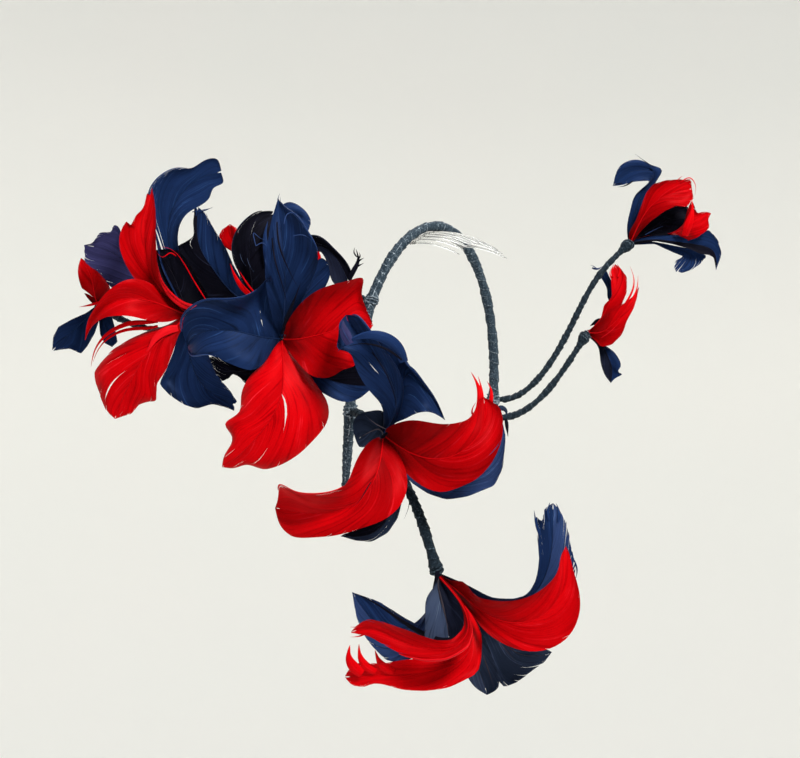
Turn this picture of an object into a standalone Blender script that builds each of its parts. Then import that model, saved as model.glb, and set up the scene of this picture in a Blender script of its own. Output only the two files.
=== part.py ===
"""Feather flower headpiece: a bound hair band with a comb, and wired stems that end in flowers of curled feathers.

Metres, +Z up. The wearer faces -Y, and the wearer's right is -X. The origin is under the top of the band, where
it sits on the crown of the head. Places on the flowers are written as they are seen from the wearer's right
front, as across (to the viewer's right), toward (to the viewer) and up. Run it in Blender.
"""

from collections import namedtuple
from math import atan2, cos, degrees, pi, radians, sin

import bmesh
import bpy
import numpy as np

# The band that goes over the head: half an ellipse, and under it a straight leg on each side
BAND_RADIUS = 0.0030
BAND_HALF_WIDTH = 0.0600
BAND_RISE = 0.1050
BAND_DROP = 0.1500
LEAN_BACK = radians(5.5)
ARCH_STEPS = 12
BAND_END_TAPER = 0.72

# The clear comb under the top of the band
COMB_WIDTH = 0.0460
COMB_TEETH = 12
TOOTH_SHARE = 0.42
SPINE_DEPTH = 0.0050
TOOTH_LENGTH = 0.0340
COMB_THICKNESS = 0.0012
COMB_DROP = 0.0090

# The bound stems and the collar of thread that holds each flower's quills
STEM_RADIUS = 0.0020
FOOT_SHARE = 0.60
COLLAR_RADIUS = 0.0040
COLLAR_LENGTH = 0.0110
STEM_REACH = 0.1000
STEM_SQUARE_OUT = 0.0060
STEM_STEPS = 8

# The feathers: FLOWER_SPREAD is the reach of a flower whose waypoint reads 1.0
FLOWER_SPREAD = 0.0550
FEATHER_THICKNESS = 0.0010
QUILL_HALF_WIDTH = 0.0009
QUILL_LEAN = 0.10
RIB_STEPS = 9
VANE_STEPS = 4

# The gap that touching pieces keep, and the side that the flowers are written from
GAP = 0.0003
SHOW_TURN = radians(45.0)

DYES = {
    "red": ((0.65, 0.008, 0.012, 1.0), 0.55),
    "navy": ((0.010, 0.022, 0.085, 1.0), 0.50),
}

# A flower hangs on "band" or on another flower's stem. side is -1 on the wearer's right and 1 on the left, and
# hold is the share of the band's drop, or of that stem's length, at which its own stem starts. bends and heart
# are across, toward, up from that point, in shares of STEM_REACH. girth is the share of STEM_RADIUS that the
# stem is thick, and size is the share of FLOWER_SPREAD that the flower is wide.
Flower = namedtuple("Flower", "name on side hold girth bends heart size")
FLOWERS = (
    Flower("temple", "band", -1, 0.442, 1.0, (), (-0.406, 0.390, -0.016), 0.97),
    Flower("rear", "band", -1, 0.372, 1.1, ((-0.50, 0.07, 0.02),), (-0.979, 0.090, 0.023), 1.00),
    Flower("inner", "band", -1, 0.300, 1.0, (), (-0.690, -0.240, -0.016), 1.05),
    Flower("cheek", "band", -1, 0.715, 1.2, (), (0.189, 0.480, -0.116), 0.96),
    Flower("jaw", "cheek", 0, 0.50, 1.35, ((0.17, 0.13, -0.28),), (0.374, 0.290, -0.802), 0.95),
    Flower("tail", "rear", 0, 0.80, 0.9, ((-0.32, -0.16, -0.08),), (-0.744, -0.35, 0.065), 1.05),
    Flower("wing", "band", 1, 0.680, 1.0, ((0.50, -0.34, 0.43), (0.70, -0.46, 0.78)), (0.931, -0.620, 1.015), 1.19),
    Flower("under", "band", 1, 0.755, 1.0, (), (0.640, -0.470, 0.530), 1.17),
)
# A feather bound straight to another flower's stem, with no stem of its own
Knot = namedtuple("Knot", "name on hold size")
KNOTS = (Knot("knot", "wing", 0.74, 1.19),)

# rib holds the waypoints of the feather's middle, past its quill's root at the flower's heart, as across, toward,
# up, in shares of the flower's reach. left and right are the half widths, in the same shares, as seen from root
# to tip; widest is the share of the rib where they are reached, and tip the share of them that is left at the
# tip. roll turns the face away from the viewer at the root, twist is what the tip turns further, and cup is the
# angle that the cross-section bows through.
Feather = namedtuple("Feather", "flower name dye rib left right widest tip roll twist cup")
FEATHERS = (
    Feather(
        "temple", "left", "navy", ((-0.27, 0.20, 0.04), (-0.60, 0.28, 0.07), (-0.92, 0.10, -0.03)),
        0.35, 0.40, 0.42, 0.70, 0, 0, 50,
    ),
    Feather(
        "temple", "up", "navy", ((0.06, 0.18, 0.42), (0.12, 0.20, 0.88), (0.13, 0.06, 1.26)),
        0.23, 0.24, 0.55, 0.30, 8, 0, 40,
    ),
    Feather(
        "temple", "back", "navy", ((-0.05, 0.04, 0.52), (0.02, 0.02, 1.10), (0.15, -0.05, 1.28), (0.27, 0.00, 1.12)),
        0.15, 0.14, 0.60, 0.50, 0, 0, 40,
    ),
    Feather(
        "temple", "right", "red", ((0.28, 0.15, 0.02), (0.57, 0.22, 0.07), (0.86, 0.20, 0.10)),
        0.51, 0.44, 0.78, 0.80, 0, 0, 50,
    ),
    Feather(
        "temple", "low", "red", ((0.00, 0.24, -0.36), (0.00, 0.38, -0.72), (-0.08, 0.40, -0.93), (-0.52, 0.28, -1.21)),
        0.48, 0.42, 0.52, 0.20, 0, 0, -36,
    ),
    Feather(
        "temple", "under", "navy", ((0.24, -0.04, -0.28), (0.53, -0.12, -0.47), (0.86, -0.14, -0.52)),
        0.18, 0.18, 0.60, 0.60, 0, 0, 30,
    ),
    Feather(
        "temple", "claw", "navy", ((-0.20, -0.05, -0.24), (-0.40, -0.02, -0.38), (-0.64, 0.02, -0.36)),
        0.12, 0.12, 0.60, 0.50, 0, 0, 30,
    ),
    Feather(
        "temple", "side", "navy", ((0.30, 0.02, 0.24), (0.52, -0.18, 0.62), (0.80, -0.12, 0.86)),
        0.09, 0.09, 0.60, 0.10, 0, 0, 30,
    ),
    Feather(
        "rear", "up", "red", ((-0.24, 0.12, 0.15), (-0.43, 0.20, 0.44), (-0.48, 0.20, 0.76), (-0.36, 0.12, 1.25)),
        0.18, 0.19, 0.50, 0.06, 10, 0, 60,
    ),
    Feather(
        "rear", "left", "red", ((-0.27, 0.38, 0.09), (-0.53, 0.46, 0.14), (-0.77, 0.42, 0.03), (-0.95, 0.30, -0.26)),
        0.18, 0.19, 0.42, 0.05, 0, 0, 40,
    ),
    Feather(
        "rear", "low", "red", ((-0.22, 0.22, -0.24), (-0.46, 0.34, -0.50), (-0.57, 0.36, -0.78), (-0.62, 0.28, -1.03)),
        0.33, 0.34, 0.58, 0.30, 0, 0, 40,
    ),
    Feather(
        "rear", "crest", "navy", ((-0.15, -0.10, 0.40), (-0.22, -0.12, 0.80), (-0.08, -0.12, 1.23), (0.31, -0.05, 1.47)),
        0.22, 0.26, 0.62, 0.50, 0, 0, 40,
    ),
    Feather(
        "rear", "fall", "navy", ((-0.02, -0.02, -0.30), (0.01, 0.00, -0.54), (0.15, 0.02, -0.75), (0.47, 0.02, -0.90)),
        0.25, 0.22, 0.55, 0.25, 0, 0, 40,
    ),
    Feather(
        "rear", "inner", "navy", ((0.05, -0.02, 0.20), (-0.04, -0.04, 0.40), (-0.16, -0.04, 0.56)),
        0.18, 0.18, 0.55, 0.40, 0, 0, 40,
    ),
    Feather(
        "rear", "back", "navy", ((-0.32, -0.10, 0.16), (-0.62, -0.20, 0.50), (-0.85, -0.20, 0.78)),
        0.27, 0.20, 0.70, 0.85, 0, 0, 30,
    ),
    Feather(
        "tail", "up", "red", ((-0.03, 0.06, 0.14), (-0.04, 0.12, 0.29), (-0.10, 0.08, 0.45)),
        0.13, 0.15, 0.50, 0.30, 0, 0, 50,
    ),
    Feather(
        "tail", "left", "navy", ((-0.12, 0.04, -0.12), (-0.22, 0.06, -0.26), (-0.30, 0.02, -0.44)),
        0.17, 0.17, 0.60, 0.85, 0, 0, 40,
    ),
    Feather(
        "tail", "low", "navy", ((0.08, -0.08, -0.10), (0.13, -0.10, -0.24), (0.16, -0.06, -0.41)),
        0.08, 0.08, 0.60, 0.60, 0, 0, 30,
    ),
    Feather(
        "inner", "left", "navy", ((-0.27, 0.10, 0.14), (-0.45, 0.14, 0.42), (-0.50, 0.10, 0.68), (-0.55, 0.02, 0.96)),
        0.22, 0.20, 0.50, 0.12, 0, 0, 40,
    ),
    Feather(
        "inner", "curl", "navy", ((-0.04, 0.04, 0.26), (-0.02, -0.04, 0.56), (0.08, -0.08, 0.91)),
        0.21, 0.20, 0.50, 0.40, 0, 0, 40,
    ),
    Feather(
        "inner", "ball", "red", ((-0.14, -0.20, 0.18), (-0.23, -0.28, 0.42), (-0.25, -0.28, 0.79)),
        0.12, 0.12, 0.78, 0.60, 0, 0, 40,
    ),
    Feather(
        "inner", "arch", "navy", ((0.26, -0.26, 0.44), (0.60, -0.26, 0.66), (0.92, -0.22, 0.38)),
        0.13, 0.12, 0.60, 0.40, 0, 0, 40,
    ),
    Feather(
        "inner", "right", "red", ((0.24, -0.30, 0.14), (0.52, -0.40, 0.30), (0.70, -0.42, 0.52)),
        0.10, 0.10, 0.60, 0.30, 0, 0, 40,
    ),
    Feather(
        "cheek", "up", "navy", ((-0.04, 0.22, 0.30), (-0.14, 0.36, 0.64), (-0.25, 0.34, 0.90), (-0.37, 0.18, 1.13)),
        0.18, 0.28, 0.50, 0.45, 0, 0, 40,
    ),
    Feather(
        "cheek", "arch", "navy", ((0.10, 0.02, 0.32), (0.16, 0.06, 0.58), (0.35, 0.08, 0.45), (0.58, 0.08, 0.17)),
        0.17, 0.22, 0.50, 0.08, 0, 0, 40,
    ),
    Feather(
        "cheek", "right", "red", ((0.33, 0.22, -0.18), (0.66, 0.32, -0.23), (0.93, 0.26, -0.05), (0.97, 0.16, 0.46)),
        0.32, 0.31, 0.48, 0.15, 0, 0, 50,
    ),
    Feather(
        "cheek", "shade", "navy", ((0.34, -0.06, -0.28), (0.76, -0.04, -0.36), (1.02, 0.00, -0.17), (1.11, 0.00, 0.22)),
        0.26, 0.27, 0.55, 0.30, 0, 0, 40,
    ),
    Feather(
        "cheek", "left", "red", ((-0.03, 0.26, -0.36), (-0.24, 0.42, -0.70), (-0.58, 0.46, -0.80), (-1.03, 0.40, -0.70)),
        0.24, 0.24, 0.42, 0.72, 0, 0, 40,
    ),
    Feather(
        "cheek", "low", "navy", ((0.00, 0.06, -0.48), (-0.12, 0.08, -0.86), (-0.44, 0.12, -0.96)),
        0.16, 0.18, 0.55, 0.35, 0, 0, 40,
    ),
    Feather(
        "cheek", "calyx", "navy", ((-0.14, 0.10, 0.02), (-0.22, 0.08, 0.10), (-0.30, 0.02, 0.14)),
        0.13, 0.13, 0.55, 0.60, 0, 0, 40,
    ),
    Feather(
        "jaw", "leaf", "navy", ((-0.03, 0.10, -0.20), (0.00, 0.14, -0.40), (0.07, 0.12, -0.58)),
        0.18, 0.17, 0.55, 0.30, 0, 0, 60,
    ),
    Feather(
        "jaw", "point", "navy", ((-0.10, -0.10, -0.34), (-0.30, -0.14, -0.52), (-0.56, -0.10, -0.47), (-0.84, -0.05, -0.24)),
        0.13, 0.12, 0.50, 0.30, 0, 0, 40,
    ),
    Feather(
        "jaw", "left", "red", ((0.24, 0.34, -0.26), (0.20, 0.42, -0.55), (-0.30, 0.42, -0.67), (-0.85, 0.32, -0.50)),
        0.14, 0.15, 0.62, 0.35, 0, 0, 40,
    ),
    Feather(
        "jaw", "low", "red", ((0.28, 0.02, -0.46), (0.24, 0.14, -0.80), (-0.22, 0.28, -0.96), (-0.92, 0.24, -0.93)),
        0.20, 0.18, 0.60, 0.60, 0, 0, 40,
    ),
    Feather(
        "jaw", "right", "red", ((0.38, 0.10, -0.24), (0.76, 0.20, -0.42), (1.13, 0.22, -0.29), (1.23, 0.12, 0.31)),
        0.26, 0.28, 0.55, 0.08, 0, 0, 50,
    ),
    Feather(
        "jaw", "rise", "navy", ((0.45, -0.06, -0.12), (0.92, -0.10, -0.08), (1.17, -0.08, 0.22), (1.14, -0.05, 0.70)),
        0.17, 0.17, 0.60, 0.70, 0, 0, 40,
    ),
    Feather(
        "jaw", "drop", "navy", ((0.18, -0.14, -0.42), (0.36, -0.14, -0.80), (0.49, -0.08, -1.18)),
        0.18, 0.16, 0.60, 0.45, 0, 0, 40,
    ),
    Feather(
        "jaw", "fan", "navy", ((0.40, -0.28, -0.32), (0.68, -0.30, -0.68), (1.03, -0.25, -0.88)),
        0.22, 0.20, 0.60, 0.45, 0, 0, 40,
    ),
    Feather(
        "wing", "hook", "navy",
        ((0.03, -0.05, 0.26), (0.14, -0.02, 0.50), (0.22, 0.02, 0.66), (0.06, 0.05, 0.72), (-0.14, 0.06, 0.58)),
        0.11, 0.11, 0.75, 0.60, 0, 0, 40,
    ),
    Feather(
        "wing", "up", "red", ((0.10, 0.10, 0.20), (0.27, 0.14, 0.40), (0.62, 0.12, 0.47)),
        0.15, 0.15, 0.68, 0.75, 0, 0, 40,
    ),
    Feather(
        "wing", "inner", "navy", ((0.20, -0.08, 0.10), (0.40, -0.10, 0.17), (0.58, -0.08, 0.19)),
        0.14, 0.14, 0.60, 0.75, 0, 0, 40,
    ),
    Feather(
        "wing", "right", "red", ((0.32, 0.12, -0.03), (0.57, 0.18, 0.03), (0.76, 0.15, 0.27)),
        0.11, 0.11, 0.70, 0.40, 0, 0, 40,
    ),
    Feather(
        "wing", "low", "navy", ((0.30, -0.02, -0.10), (0.62, 0.02, -0.11), (0.88, 0.02, -0.24)),
        0.13, 0.12, 0.60, 0.30, 0, 0, 40,
    ),
    Feather(
        "wing", "under", "navy", ((0.22, -0.10, -0.15), (0.46, -0.12, -0.16), (0.54, -0.10, -0.26)),
        0.06, 0.06, 0.70, 0.40, 0, 0, 30,
    ),
    Feather(
        "under", "up", "red", ((0.10, 0.06, 0.18), (0.22, 0.10, 0.40), (0.29, 0.05, 0.64)),
        0.11, 0.11, 0.45, 0.50, 0, 0, 40,
    ),
    Feather(
        "under", "right", "red", ((0.20, 0.14, 0.08), (0.36, 0.20, 0.28), (0.44, 0.14, 0.56)),
        0.11, 0.11, 0.45, 0.15, 0, 0, 40,
    ),
    Feather(
        "under", "low", "navy", ((0.14, 0.02, -0.12), (0.25, 0.05, -0.28), (0.17, 0.05, -0.48)),
        0.10, 0.10, 0.55, 0.40, 0, 0, 40,
    ),
    Feather(
        "knot", "leaf", "navy", ((0.11, -0.06, -0.08), (0.16, -0.10, -0.20), (0.15, -0.12, -0.34)),
        0.06, 0.06, 0.60, 0.50, 0, 0, 30,
    ),
)

TOWARD = np.array((-sin(SHOW_TURN), -cos(SHOW_TURN), 0.0))
ACROSS = np.array((cos(SHOW_TURN), -sin(SHOW_TURN), 0.0))
UP = np.array((0.0, 0.0, 1.0))


def seen(across, toward, up):
    """The offset, in the wearer's axes, of what is seen that far across, toward and up."""
    return across * ACROSS + toward * TOWARD + up * UP


def unit(vector):
    return vector / np.linalg.norm(vector)


def turned(vector, axis, angle):
    """vector turned about the unit axis by angle."""
    return vector * cos(angle) + np.cross(axis, vector) * sin(angle) + axis * (axis @ vector) * (1 - cos(angle))


def smooth_curve(points, count):
    """count points, evenly spaced along the natural cubic spline through points."""
    points = np.array(points, float)
    knots = np.concatenate(([0.0], np.cumsum(np.linalg.norm(np.diff(points, axis=0), axis=1))))
    steps = np.diff(knots)
    size = len(points)
    matrix = np.eye(size)
    right = np.zeros((size, 3))
    for i in range(1, size - 1):
        matrix[i, i - 1 : i + 2] = steps[i - 1], 2 * (steps[i - 1] + steps[i]), steps[i]
        right[i] = 6 * ((points[i + 1] - points[i]) / steps[i] - (points[i] - points[i - 1]) / steps[i - 1])
    bend = np.linalg.solve(matrix, right)
    fine = np.linspace(0, knots[-1], 40 * size)
    span = np.clip(np.searchsorted(knots, fine, side="right") - 1, 0, size - 2)
    width = steps[span][:, None]
    before = (fine - knots[span])[:, None]
    after = width - before
    curve = (
        bend[span] * after**3 / (6 * width)
        + bend[span + 1] * before**3 / (6 * width)
        + (points[span] / width - bend[span] * width / 6) * after
        + (points[span + 1] / width - bend[span + 1] * width / 6) * before
    )
    walked = np.concatenate(([0.0], np.cumsum(np.linalg.norm(np.diff(curve, axis=0), axis=1))))
    even = np.linspace(0, walked[-1], count)
    return np.stack([np.interp(even, walked, curve[:, k]) for k in range(3)], axis=1)


def band_at(side, drop):
    """The band's middle line, this far below its crown: an ellipse down to BAND_RISE, and then a straight leg."""
    level = min(drop / BAND_RISE, 1.0)
    height = BAND_RADIUS - drop
    return np.array((side * BAND_HALF_WIDTH * (1 - (1 - level) ** 2) ** 0.5, -height * sin(LEAN_BACK), height * cos(LEAN_BACK)))


def stem_of(flower, stems):
    """The middle line of a flower's stem, from just off what carries it to the flower's heart."""
    if flower.on == "band":
        drop = flower.hold * BAND_DROP
        hold = band_at(flower.side, drop)
        along = unit(band_at(flower.side, drop + BAND_RADIUS) - band_at(flower.side, drop - BAND_RADIUS))
        carrier_radius = BAND_RADIUS
    else:
        carrier, girth = stems[flower.on]
        place = int(round(flower.hold * (len(carrier) - 1)))
        hold = carrier[place]
        along = unit(carrier[place + 1] - carrier[place - 1])
        carrier_radius = STEM_RADIUS * girth
    bends = [hold + STEM_REACH * seen(*bend) for bend in flower.bends]
    heart = hold + STEM_REACH * seen(*flower.heart)
    first = (bends + [heart])[0] - hold
    outward = unit(first - along * (first @ along))
    start = hold + outward * (carrier_radius + GAP)
    return smooth_curve([start, start + outward * STEM_SQUARE_OUT, *bends, heart], 4 * STEM_STEPS + 1)


def widths_along(shares, widest, tip):
    """A feather's half width along its rib, as a share of the widest: a rise from the quill, then a round fall."""
    rise = np.sin(np.clip(shares / widest, 0, 1) * pi / 2)
    fall = np.clip((shares - widest) / (1 - widest), 0, 1)
    return np.where(shares < widest, rise, np.sqrt(1 - (1 - tip**2) * fall**2.5))


def rib_frame(rib, roll, twist):
    """The rib's directions along, sideways and facing. The side is carried along the curve without turning about it."""
    along = np.gradient(rib, axis=0)
    along /= np.linalg.norm(along, axis=1)[:, None]
    side = turned(unit(np.cross(along[0], TOWARD)), along[0], roll)
    sides = []
    for i, ahead in enumerate(along):
        side = unit(side - ahead * (side @ ahead))
        sides.append(turned(side, ahead, twist * i / (len(rib) - 1)))
    sides = np.array(sides)
    return along, sides, np.cross(sides, along)


def collection_for(name):
    found = bpy.data.collections.new(name)
    bpy.context.scene.collection.children.link(found)
    return found


def material(name, colour, roughness, alpha=1.0):
    made = bpy.data.materials.new(name)
    made.use_nodes = True
    shader = made.node_tree.nodes["Principled BSDF"]
    shader.inputs["Base Color"].default_value = colour
    shader.inputs["Roughness"].default_value = roughness
    shader.inputs["Alpha"].default_value = alpha
    return made


def place(name, data, finish, parts):
    """A named object in the parts' collection, with its finish."""
    made = bpy.data.objects.new(name, data)
    made.data.materials.append(finish)
    parts.objects.link(made)
    return made


def tube(name, points, radii, finish, parts):
    """A bound wire: a poly curve with a round bevel, whose radius changes from point to point."""
    curve = bpy.data.curves.new(name, "CURVE")
    curve.dimensions = "3D"
    curve.bevel_depth = 1.0
    curve.bevel_resolution = 2
    curve.use_fill_caps = True
    spline = curve.splines.new("POLY")
    spline.points.add(len(points) - 1)
    for knot, point, radius in zip(spline.points, points, radii):
        knot.co = (*point, 1.0)
        knot.radius = radius
    return place(name, curve, finish, parts)


def sheet(name, points, faces, thickness, finish, parts):
    """An open surface with Solidify, its thickness shared to both sides."""
    mesh = bpy.data.meshes.new(name)
    mesh.from_pydata([tuple(point) for point in points], [], faces)
    made = place(name, mesh, finish, parts)
    solid = made.modifiers.new("thickness", "SOLIDIFY")
    solid.thickness = thickness
    solid.offset = 0.0
    solid.use_even_offset = True
    return made


def grid_faces(rows, columns, keep=lambda row, column: True):
    """The quads of a grid of rows by columns points, leaving out those that keep refuses."""
    return [
        (row * columns + column, row * columns + column + 1, (row + 1) * columns + column + 1, (row + 1) * columns + column)
        for row in range(rows - 1)
        for column in range(columns - 1)
        if keep(row, column)
    ]


def build_band(finish, parts):
    """Both halves as one tube. Its ends taper, as a bound end does."""
    drops = [BAND_RISE * (1 - cos(pi / 2 * step / ARCH_STEPS)) for step in range(ARCH_STEPS + 1)] + [BAND_DROP]
    line = [band_at(-1, drop) for drop in drops[::-1]] + [band_at(1, drop) for drop in drops[1:]]
    radii = [BAND_RADIUS] * len(line)
    radii[0] = radii[-1] = BAND_RADIUS * BAND_END_TAPER
    tube("hair_band", line, radii, finish, parts)


def build_comb(finish, parts):
    """A bowed plate under the band: the spine's row of faces is whole, and in front every second column is a tooth."""
    below = BAND_RADIUS + GAP + COMB_THICKNESS / 2
    pitch = COMB_WIDTH / (COMB_TEETH - 1 + TOOTH_SHARE)
    edges = [step for tooth in range(COMB_TEETH) for step in (tooth * pitch, (tooth + TOOTH_SHARE) * pitch)]
    forward = (-SPINE_DEPTH / 2, SPINE_DEPTH / 2, SPINE_DEPTH / 2 + TOOTH_LENGTH / 2, SPINE_DEPTH / 2 + TOOTH_LENGTH)
    points = []
    for ahead in forward:
        lower = COMB_DROP * (max(ahead, 0.0) / forward[-1]) ** 2
        for edge in edges:
            across = (edge - COMB_WIDTH / 2) / BAND_HALF_WIDTH
            level = (1 - across**2) ** 0.5
            normal = unit(np.array((across / BAND_HALF_WIDTH, 0.0, level / BAND_RISE)))
            line = np.array((across * BAND_HALF_WIDTH, -ahead, BAND_RADIUS - BAND_RISE * (1 - level) - lower))
            points.append(line - normal * below)
    faces = grid_faces(len(forward), len(edges), lambda row, column: row == 0 or column % 2 == 0)
    sheet("hair_comb", points, faces, COMB_THICKNESS, finish, parts)


def build_stem(flower, line, finish, parts):
    """The bound stem: it swells into a collar over the quills, whose end is round."""
    length = np.linalg.norm(np.diff(line, axis=0), axis=1).sum()
    swell = 1 - COLLAR_LENGTH / length
    shares = np.linspace(0, 1, len(line))
    plain = [point for point, share in zip(line[::4], shares[::4]) if share < swell - 0.02]
    neck, shoulder = (
        np.array([np.interp(share, shares, line[:, k]) for k in range(3)]) for share in (swell, (1 + 2 * swell) / 3)
    )
    ahead = unit(line[-1] - line[-2])
    turns = (0.0, radians(45), radians(75))
    points = [*plain, neck, shoulder, *(line[-1] + ahead * COLLAR_RADIUS * sin(turn) for turn in turns)]
    radius = STEM_RADIUS * flower.girth
    radii = [radius * FOOT_SHARE] + [radius] * len(plain) + [(radius + COLLAR_RADIUS) / 2]
    radii += [COLLAR_RADIUS * cos(turn) for turn in turns]
    tube(f"{flower.name}_stem", points, radii, finish, parts)


def build_feather(feather, heart, finish, parts):
    """One feather: its cross-section is an arc that bows through cup, carried along the rib."""
    centre, ahead, reach, seat = heart
    way = [centre + reach * seen(*point) for point in feather.rib]
    leaves = unit(way[0] - centre)
    back = min(leaves @ ahead, -QUILL_LEAN)
    sideways = unit(leaves - ahead * (leaves @ ahead))
    if back < -QUILL_LEAN:
        leaves = unit(sideways - ahead * QUILL_LEAN)
    rib = smooth_curve([centre + leaves * (seat + GAP), *way], RIB_STEPS + 1)
    _, sides, facing = rib_frame(rib, radians(feather.roll), radians(feather.twist))
    grown = widths_along(np.linspace(0, 1, RIB_STEPS + 1), feather.widest, feather.tip)
    bow = radians(feather.cup) / 2
    points = []
    for i in range(RIB_STEPS + 1):
        for vane in np.linspace(-1, 1, VANE_STEPS + 1):
            half = reach * (feather.right if vane > 0 else feather.left)
            radius = (QUILL_HALF_WIDTH + (half - QUILL_HALF_WIDTH) * grown[i]) / bow
            turn = vane * bow
            points.append(rib[i] + sides[i] * radius * sin(turn) + facing[i] * radius * (1 - cos(turn)))
    faces = grid_faces(RIB_STEPS + 1, VANE_STEPS + 1)
    sheet(f"{feather.flower}_{feather.dye}_{feather.name}", points, faces, FEATHER_THICKNESS, finish, parts)


def main():
    for old in list(bpy.data.objects):
        bpy.data.objects.remove(old)
    parts = collection_for("feather_headpiece")
    binding = material("silk_binding", (0.035, 0.050, 0.070, 1.0), 0.65)
    clear = material("clear_plastic", (0.85, 0.85, 0.83, 1.0), 0.15, 0.4)
    dyed = {name: material(f"{name}_feather", colour, rough) for name, (colour, rough) in DYES.items()}
    build_band(binding, parts)
    build_comb(clear, parts)
    stems, hearts = {}, {}
    for flower in FLOWERS:
        line = stem_of(flower, stems)
        stems[flower.name] = line, flower.girth
        hearts[flower.name] = line[-1], unit(line[-1] - line[-2]), flower.size * FLOWER_SPREAD, COLLAR_RADIUS
        build_stem(flower, line, binding, parts)
    for knot in KNOTS:
        line, girth = stems[knot.on]
        place = int(round(knot.hold * (len(line) - 1)))
        ahead = unit(line[place + 1] - line[place - 1])
        hearts[knot.name] = line[place], ahead, knot.size * FLOWER_SPREAD, STEM_RADIUS * girth
    for feather in FEATHERS:
        build_feather(feather, hearts[feather.flower], dyed[feather.dye], parts)


main()
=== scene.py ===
"""Looks of the feather headpiece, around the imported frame.

Metres, +Z up. The wearer faces -Y, and the wearer's right is -X. Places on the flowers are written as they are
seen from the wearer's right front: across to the right of the picture, toward the viewer, and up.
"""

from collections import namedtuple
from math import cos, pi, radians, sin

import bpy
import numpy as np
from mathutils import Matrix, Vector


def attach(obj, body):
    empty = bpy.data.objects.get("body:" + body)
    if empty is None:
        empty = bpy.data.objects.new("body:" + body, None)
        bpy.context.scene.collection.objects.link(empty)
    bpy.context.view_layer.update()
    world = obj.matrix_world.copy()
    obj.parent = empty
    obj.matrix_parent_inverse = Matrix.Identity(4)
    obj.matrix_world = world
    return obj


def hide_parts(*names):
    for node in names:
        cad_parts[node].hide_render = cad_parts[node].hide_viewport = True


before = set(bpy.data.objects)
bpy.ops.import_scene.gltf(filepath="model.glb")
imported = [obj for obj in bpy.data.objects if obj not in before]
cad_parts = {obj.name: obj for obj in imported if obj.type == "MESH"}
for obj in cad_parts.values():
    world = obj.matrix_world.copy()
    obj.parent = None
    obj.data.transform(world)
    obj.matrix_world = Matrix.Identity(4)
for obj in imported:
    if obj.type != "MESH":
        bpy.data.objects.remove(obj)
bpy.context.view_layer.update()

# The band, the comb and the stems, as in the part
BAND_RADIUS = 0.0030
BAND_HALF_WIDTH = 0.0600
BAND_RISE = 0.1050
BAND_DROP = 0.1500
LEAN_BACK = radians(5.5)
COMB_WIDTH = 0.0460
COMB_TEETH = 12
COMB_MARGIN = 0.21
SPINE_DEPTH = 0.0050
TOOTH_LENGTH = 0.0340
COMB_THICKNESS = 0.0012
COMB_DROP = 0.0090
STEM_RADIUS = 0.0020
FOOT_SHARE = 0.60
COLLAR_RADIUS = 0.0040
COLLAR_LENGTH = 0.0110
STEM_REACH = 0.1000
STEM_SQUARE_OUT = 0.0060
STEM_STEPS = 8
QUILL_LEAN = 0.10
GAP = 0.0003
MILLIMETRE = 0.001
SHOW_TURN = radians(45.0)

# The photograph's frame, and what it shows at the distance of the band's middle
PHOTO_WIDTH, PHOTO_HEIGHT = 800, 758
CAMERA_DISTANCE = 0.900
METRES_PER_PIXEL = 0.000583
CAMERA_ACROSS = -0.0216
CAMERA_UP = -0.0860
SENSOR_WIDTH = 36.0
NEAREST_SEEN, FARTHEST_SEEN = 0.01, 20.0

TOWARD = np.array((-sin(SHOW_TURN), -cos(SHOW_TURN), 0.0))
ACROSS = np.array((cos(SHOW_TURN), -sin(SHOW_TURN), 0.0))
UP = np.array((0.0, 0.0, 1.0))

# A flower hangs on "band" or on another flower's stem. side is -1 on the wearer's right and 1 on the left, and
# hold is the share of the band's drop, or of that stem's length, at which its own stem starts. bends and heart
# are across, toward, up from that point, in shares of STEM_REACH. girth is the share of STEM_RADIUS that the
# stem is thick.
Flower = namedtuple("Flower", "name on side hold girth bends heart")
FLOWERS = (
    Flower("temple", "band", -1, 0.442, 1.0, (), (-0.406, 0.390, -0.016)),
    Flower("rear", "band", -1, 0.372, 1.1, ((-0.50, 0.07, 0.02),), (-0.979, 0.090, 0.023)),
    Flower("inner", "band", -1, 0.300, 1.0, (), (-0.690, -0.240, -0.016)),
    Flower("cheek", "band", -1, 0.715, 1.2, (), (0.189, 0.480, -0.116)),
    Flower("jaw", "cheek", 0, 0.50, 1.35, ((0.17, 0.13, -0.28),), (0.374, 0.290, -0.802)),
    Flower("tail", "rear", 0, 0.80, 0.9, ((-0.32, -0.16, -0.08),), (-0.744, -0.35, 0.065)),
    Flower("wing", "band", 1, 0.680, 1.0, ((0.50, -0.34, 0.43), (0.70, -0.46, 0.78)), (0.931, -0.620, 1.015)),
    Flower("under", "band", 1, 0.755, 1.0, (), (0.640, -0.470, 0.530)),
)
# The wing stem's share at which one feather is bound straight to it, with no stem of its own
KNOT_HOLD = 0.74

# How worn a feather is: locks of barbs in each vane, how far they fray, gape and lift as shares of the vane, how high
# a lock's ridge stands in metres, and how far the barbs sweep to the tip
Look = namedtuple("Look", "locks fray gap lift ridge sweep")
SMOOTH = Look(11, 0.10, 0.003, 0.015, 0.00003, 2.6)
RAGGED = Look(16, 0.32, 0.006, 0.040, 0.00005, 2.3)
WILD = Look(20, 0.62, 0.012, 0.080, 0.00008, 2.0)

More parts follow.
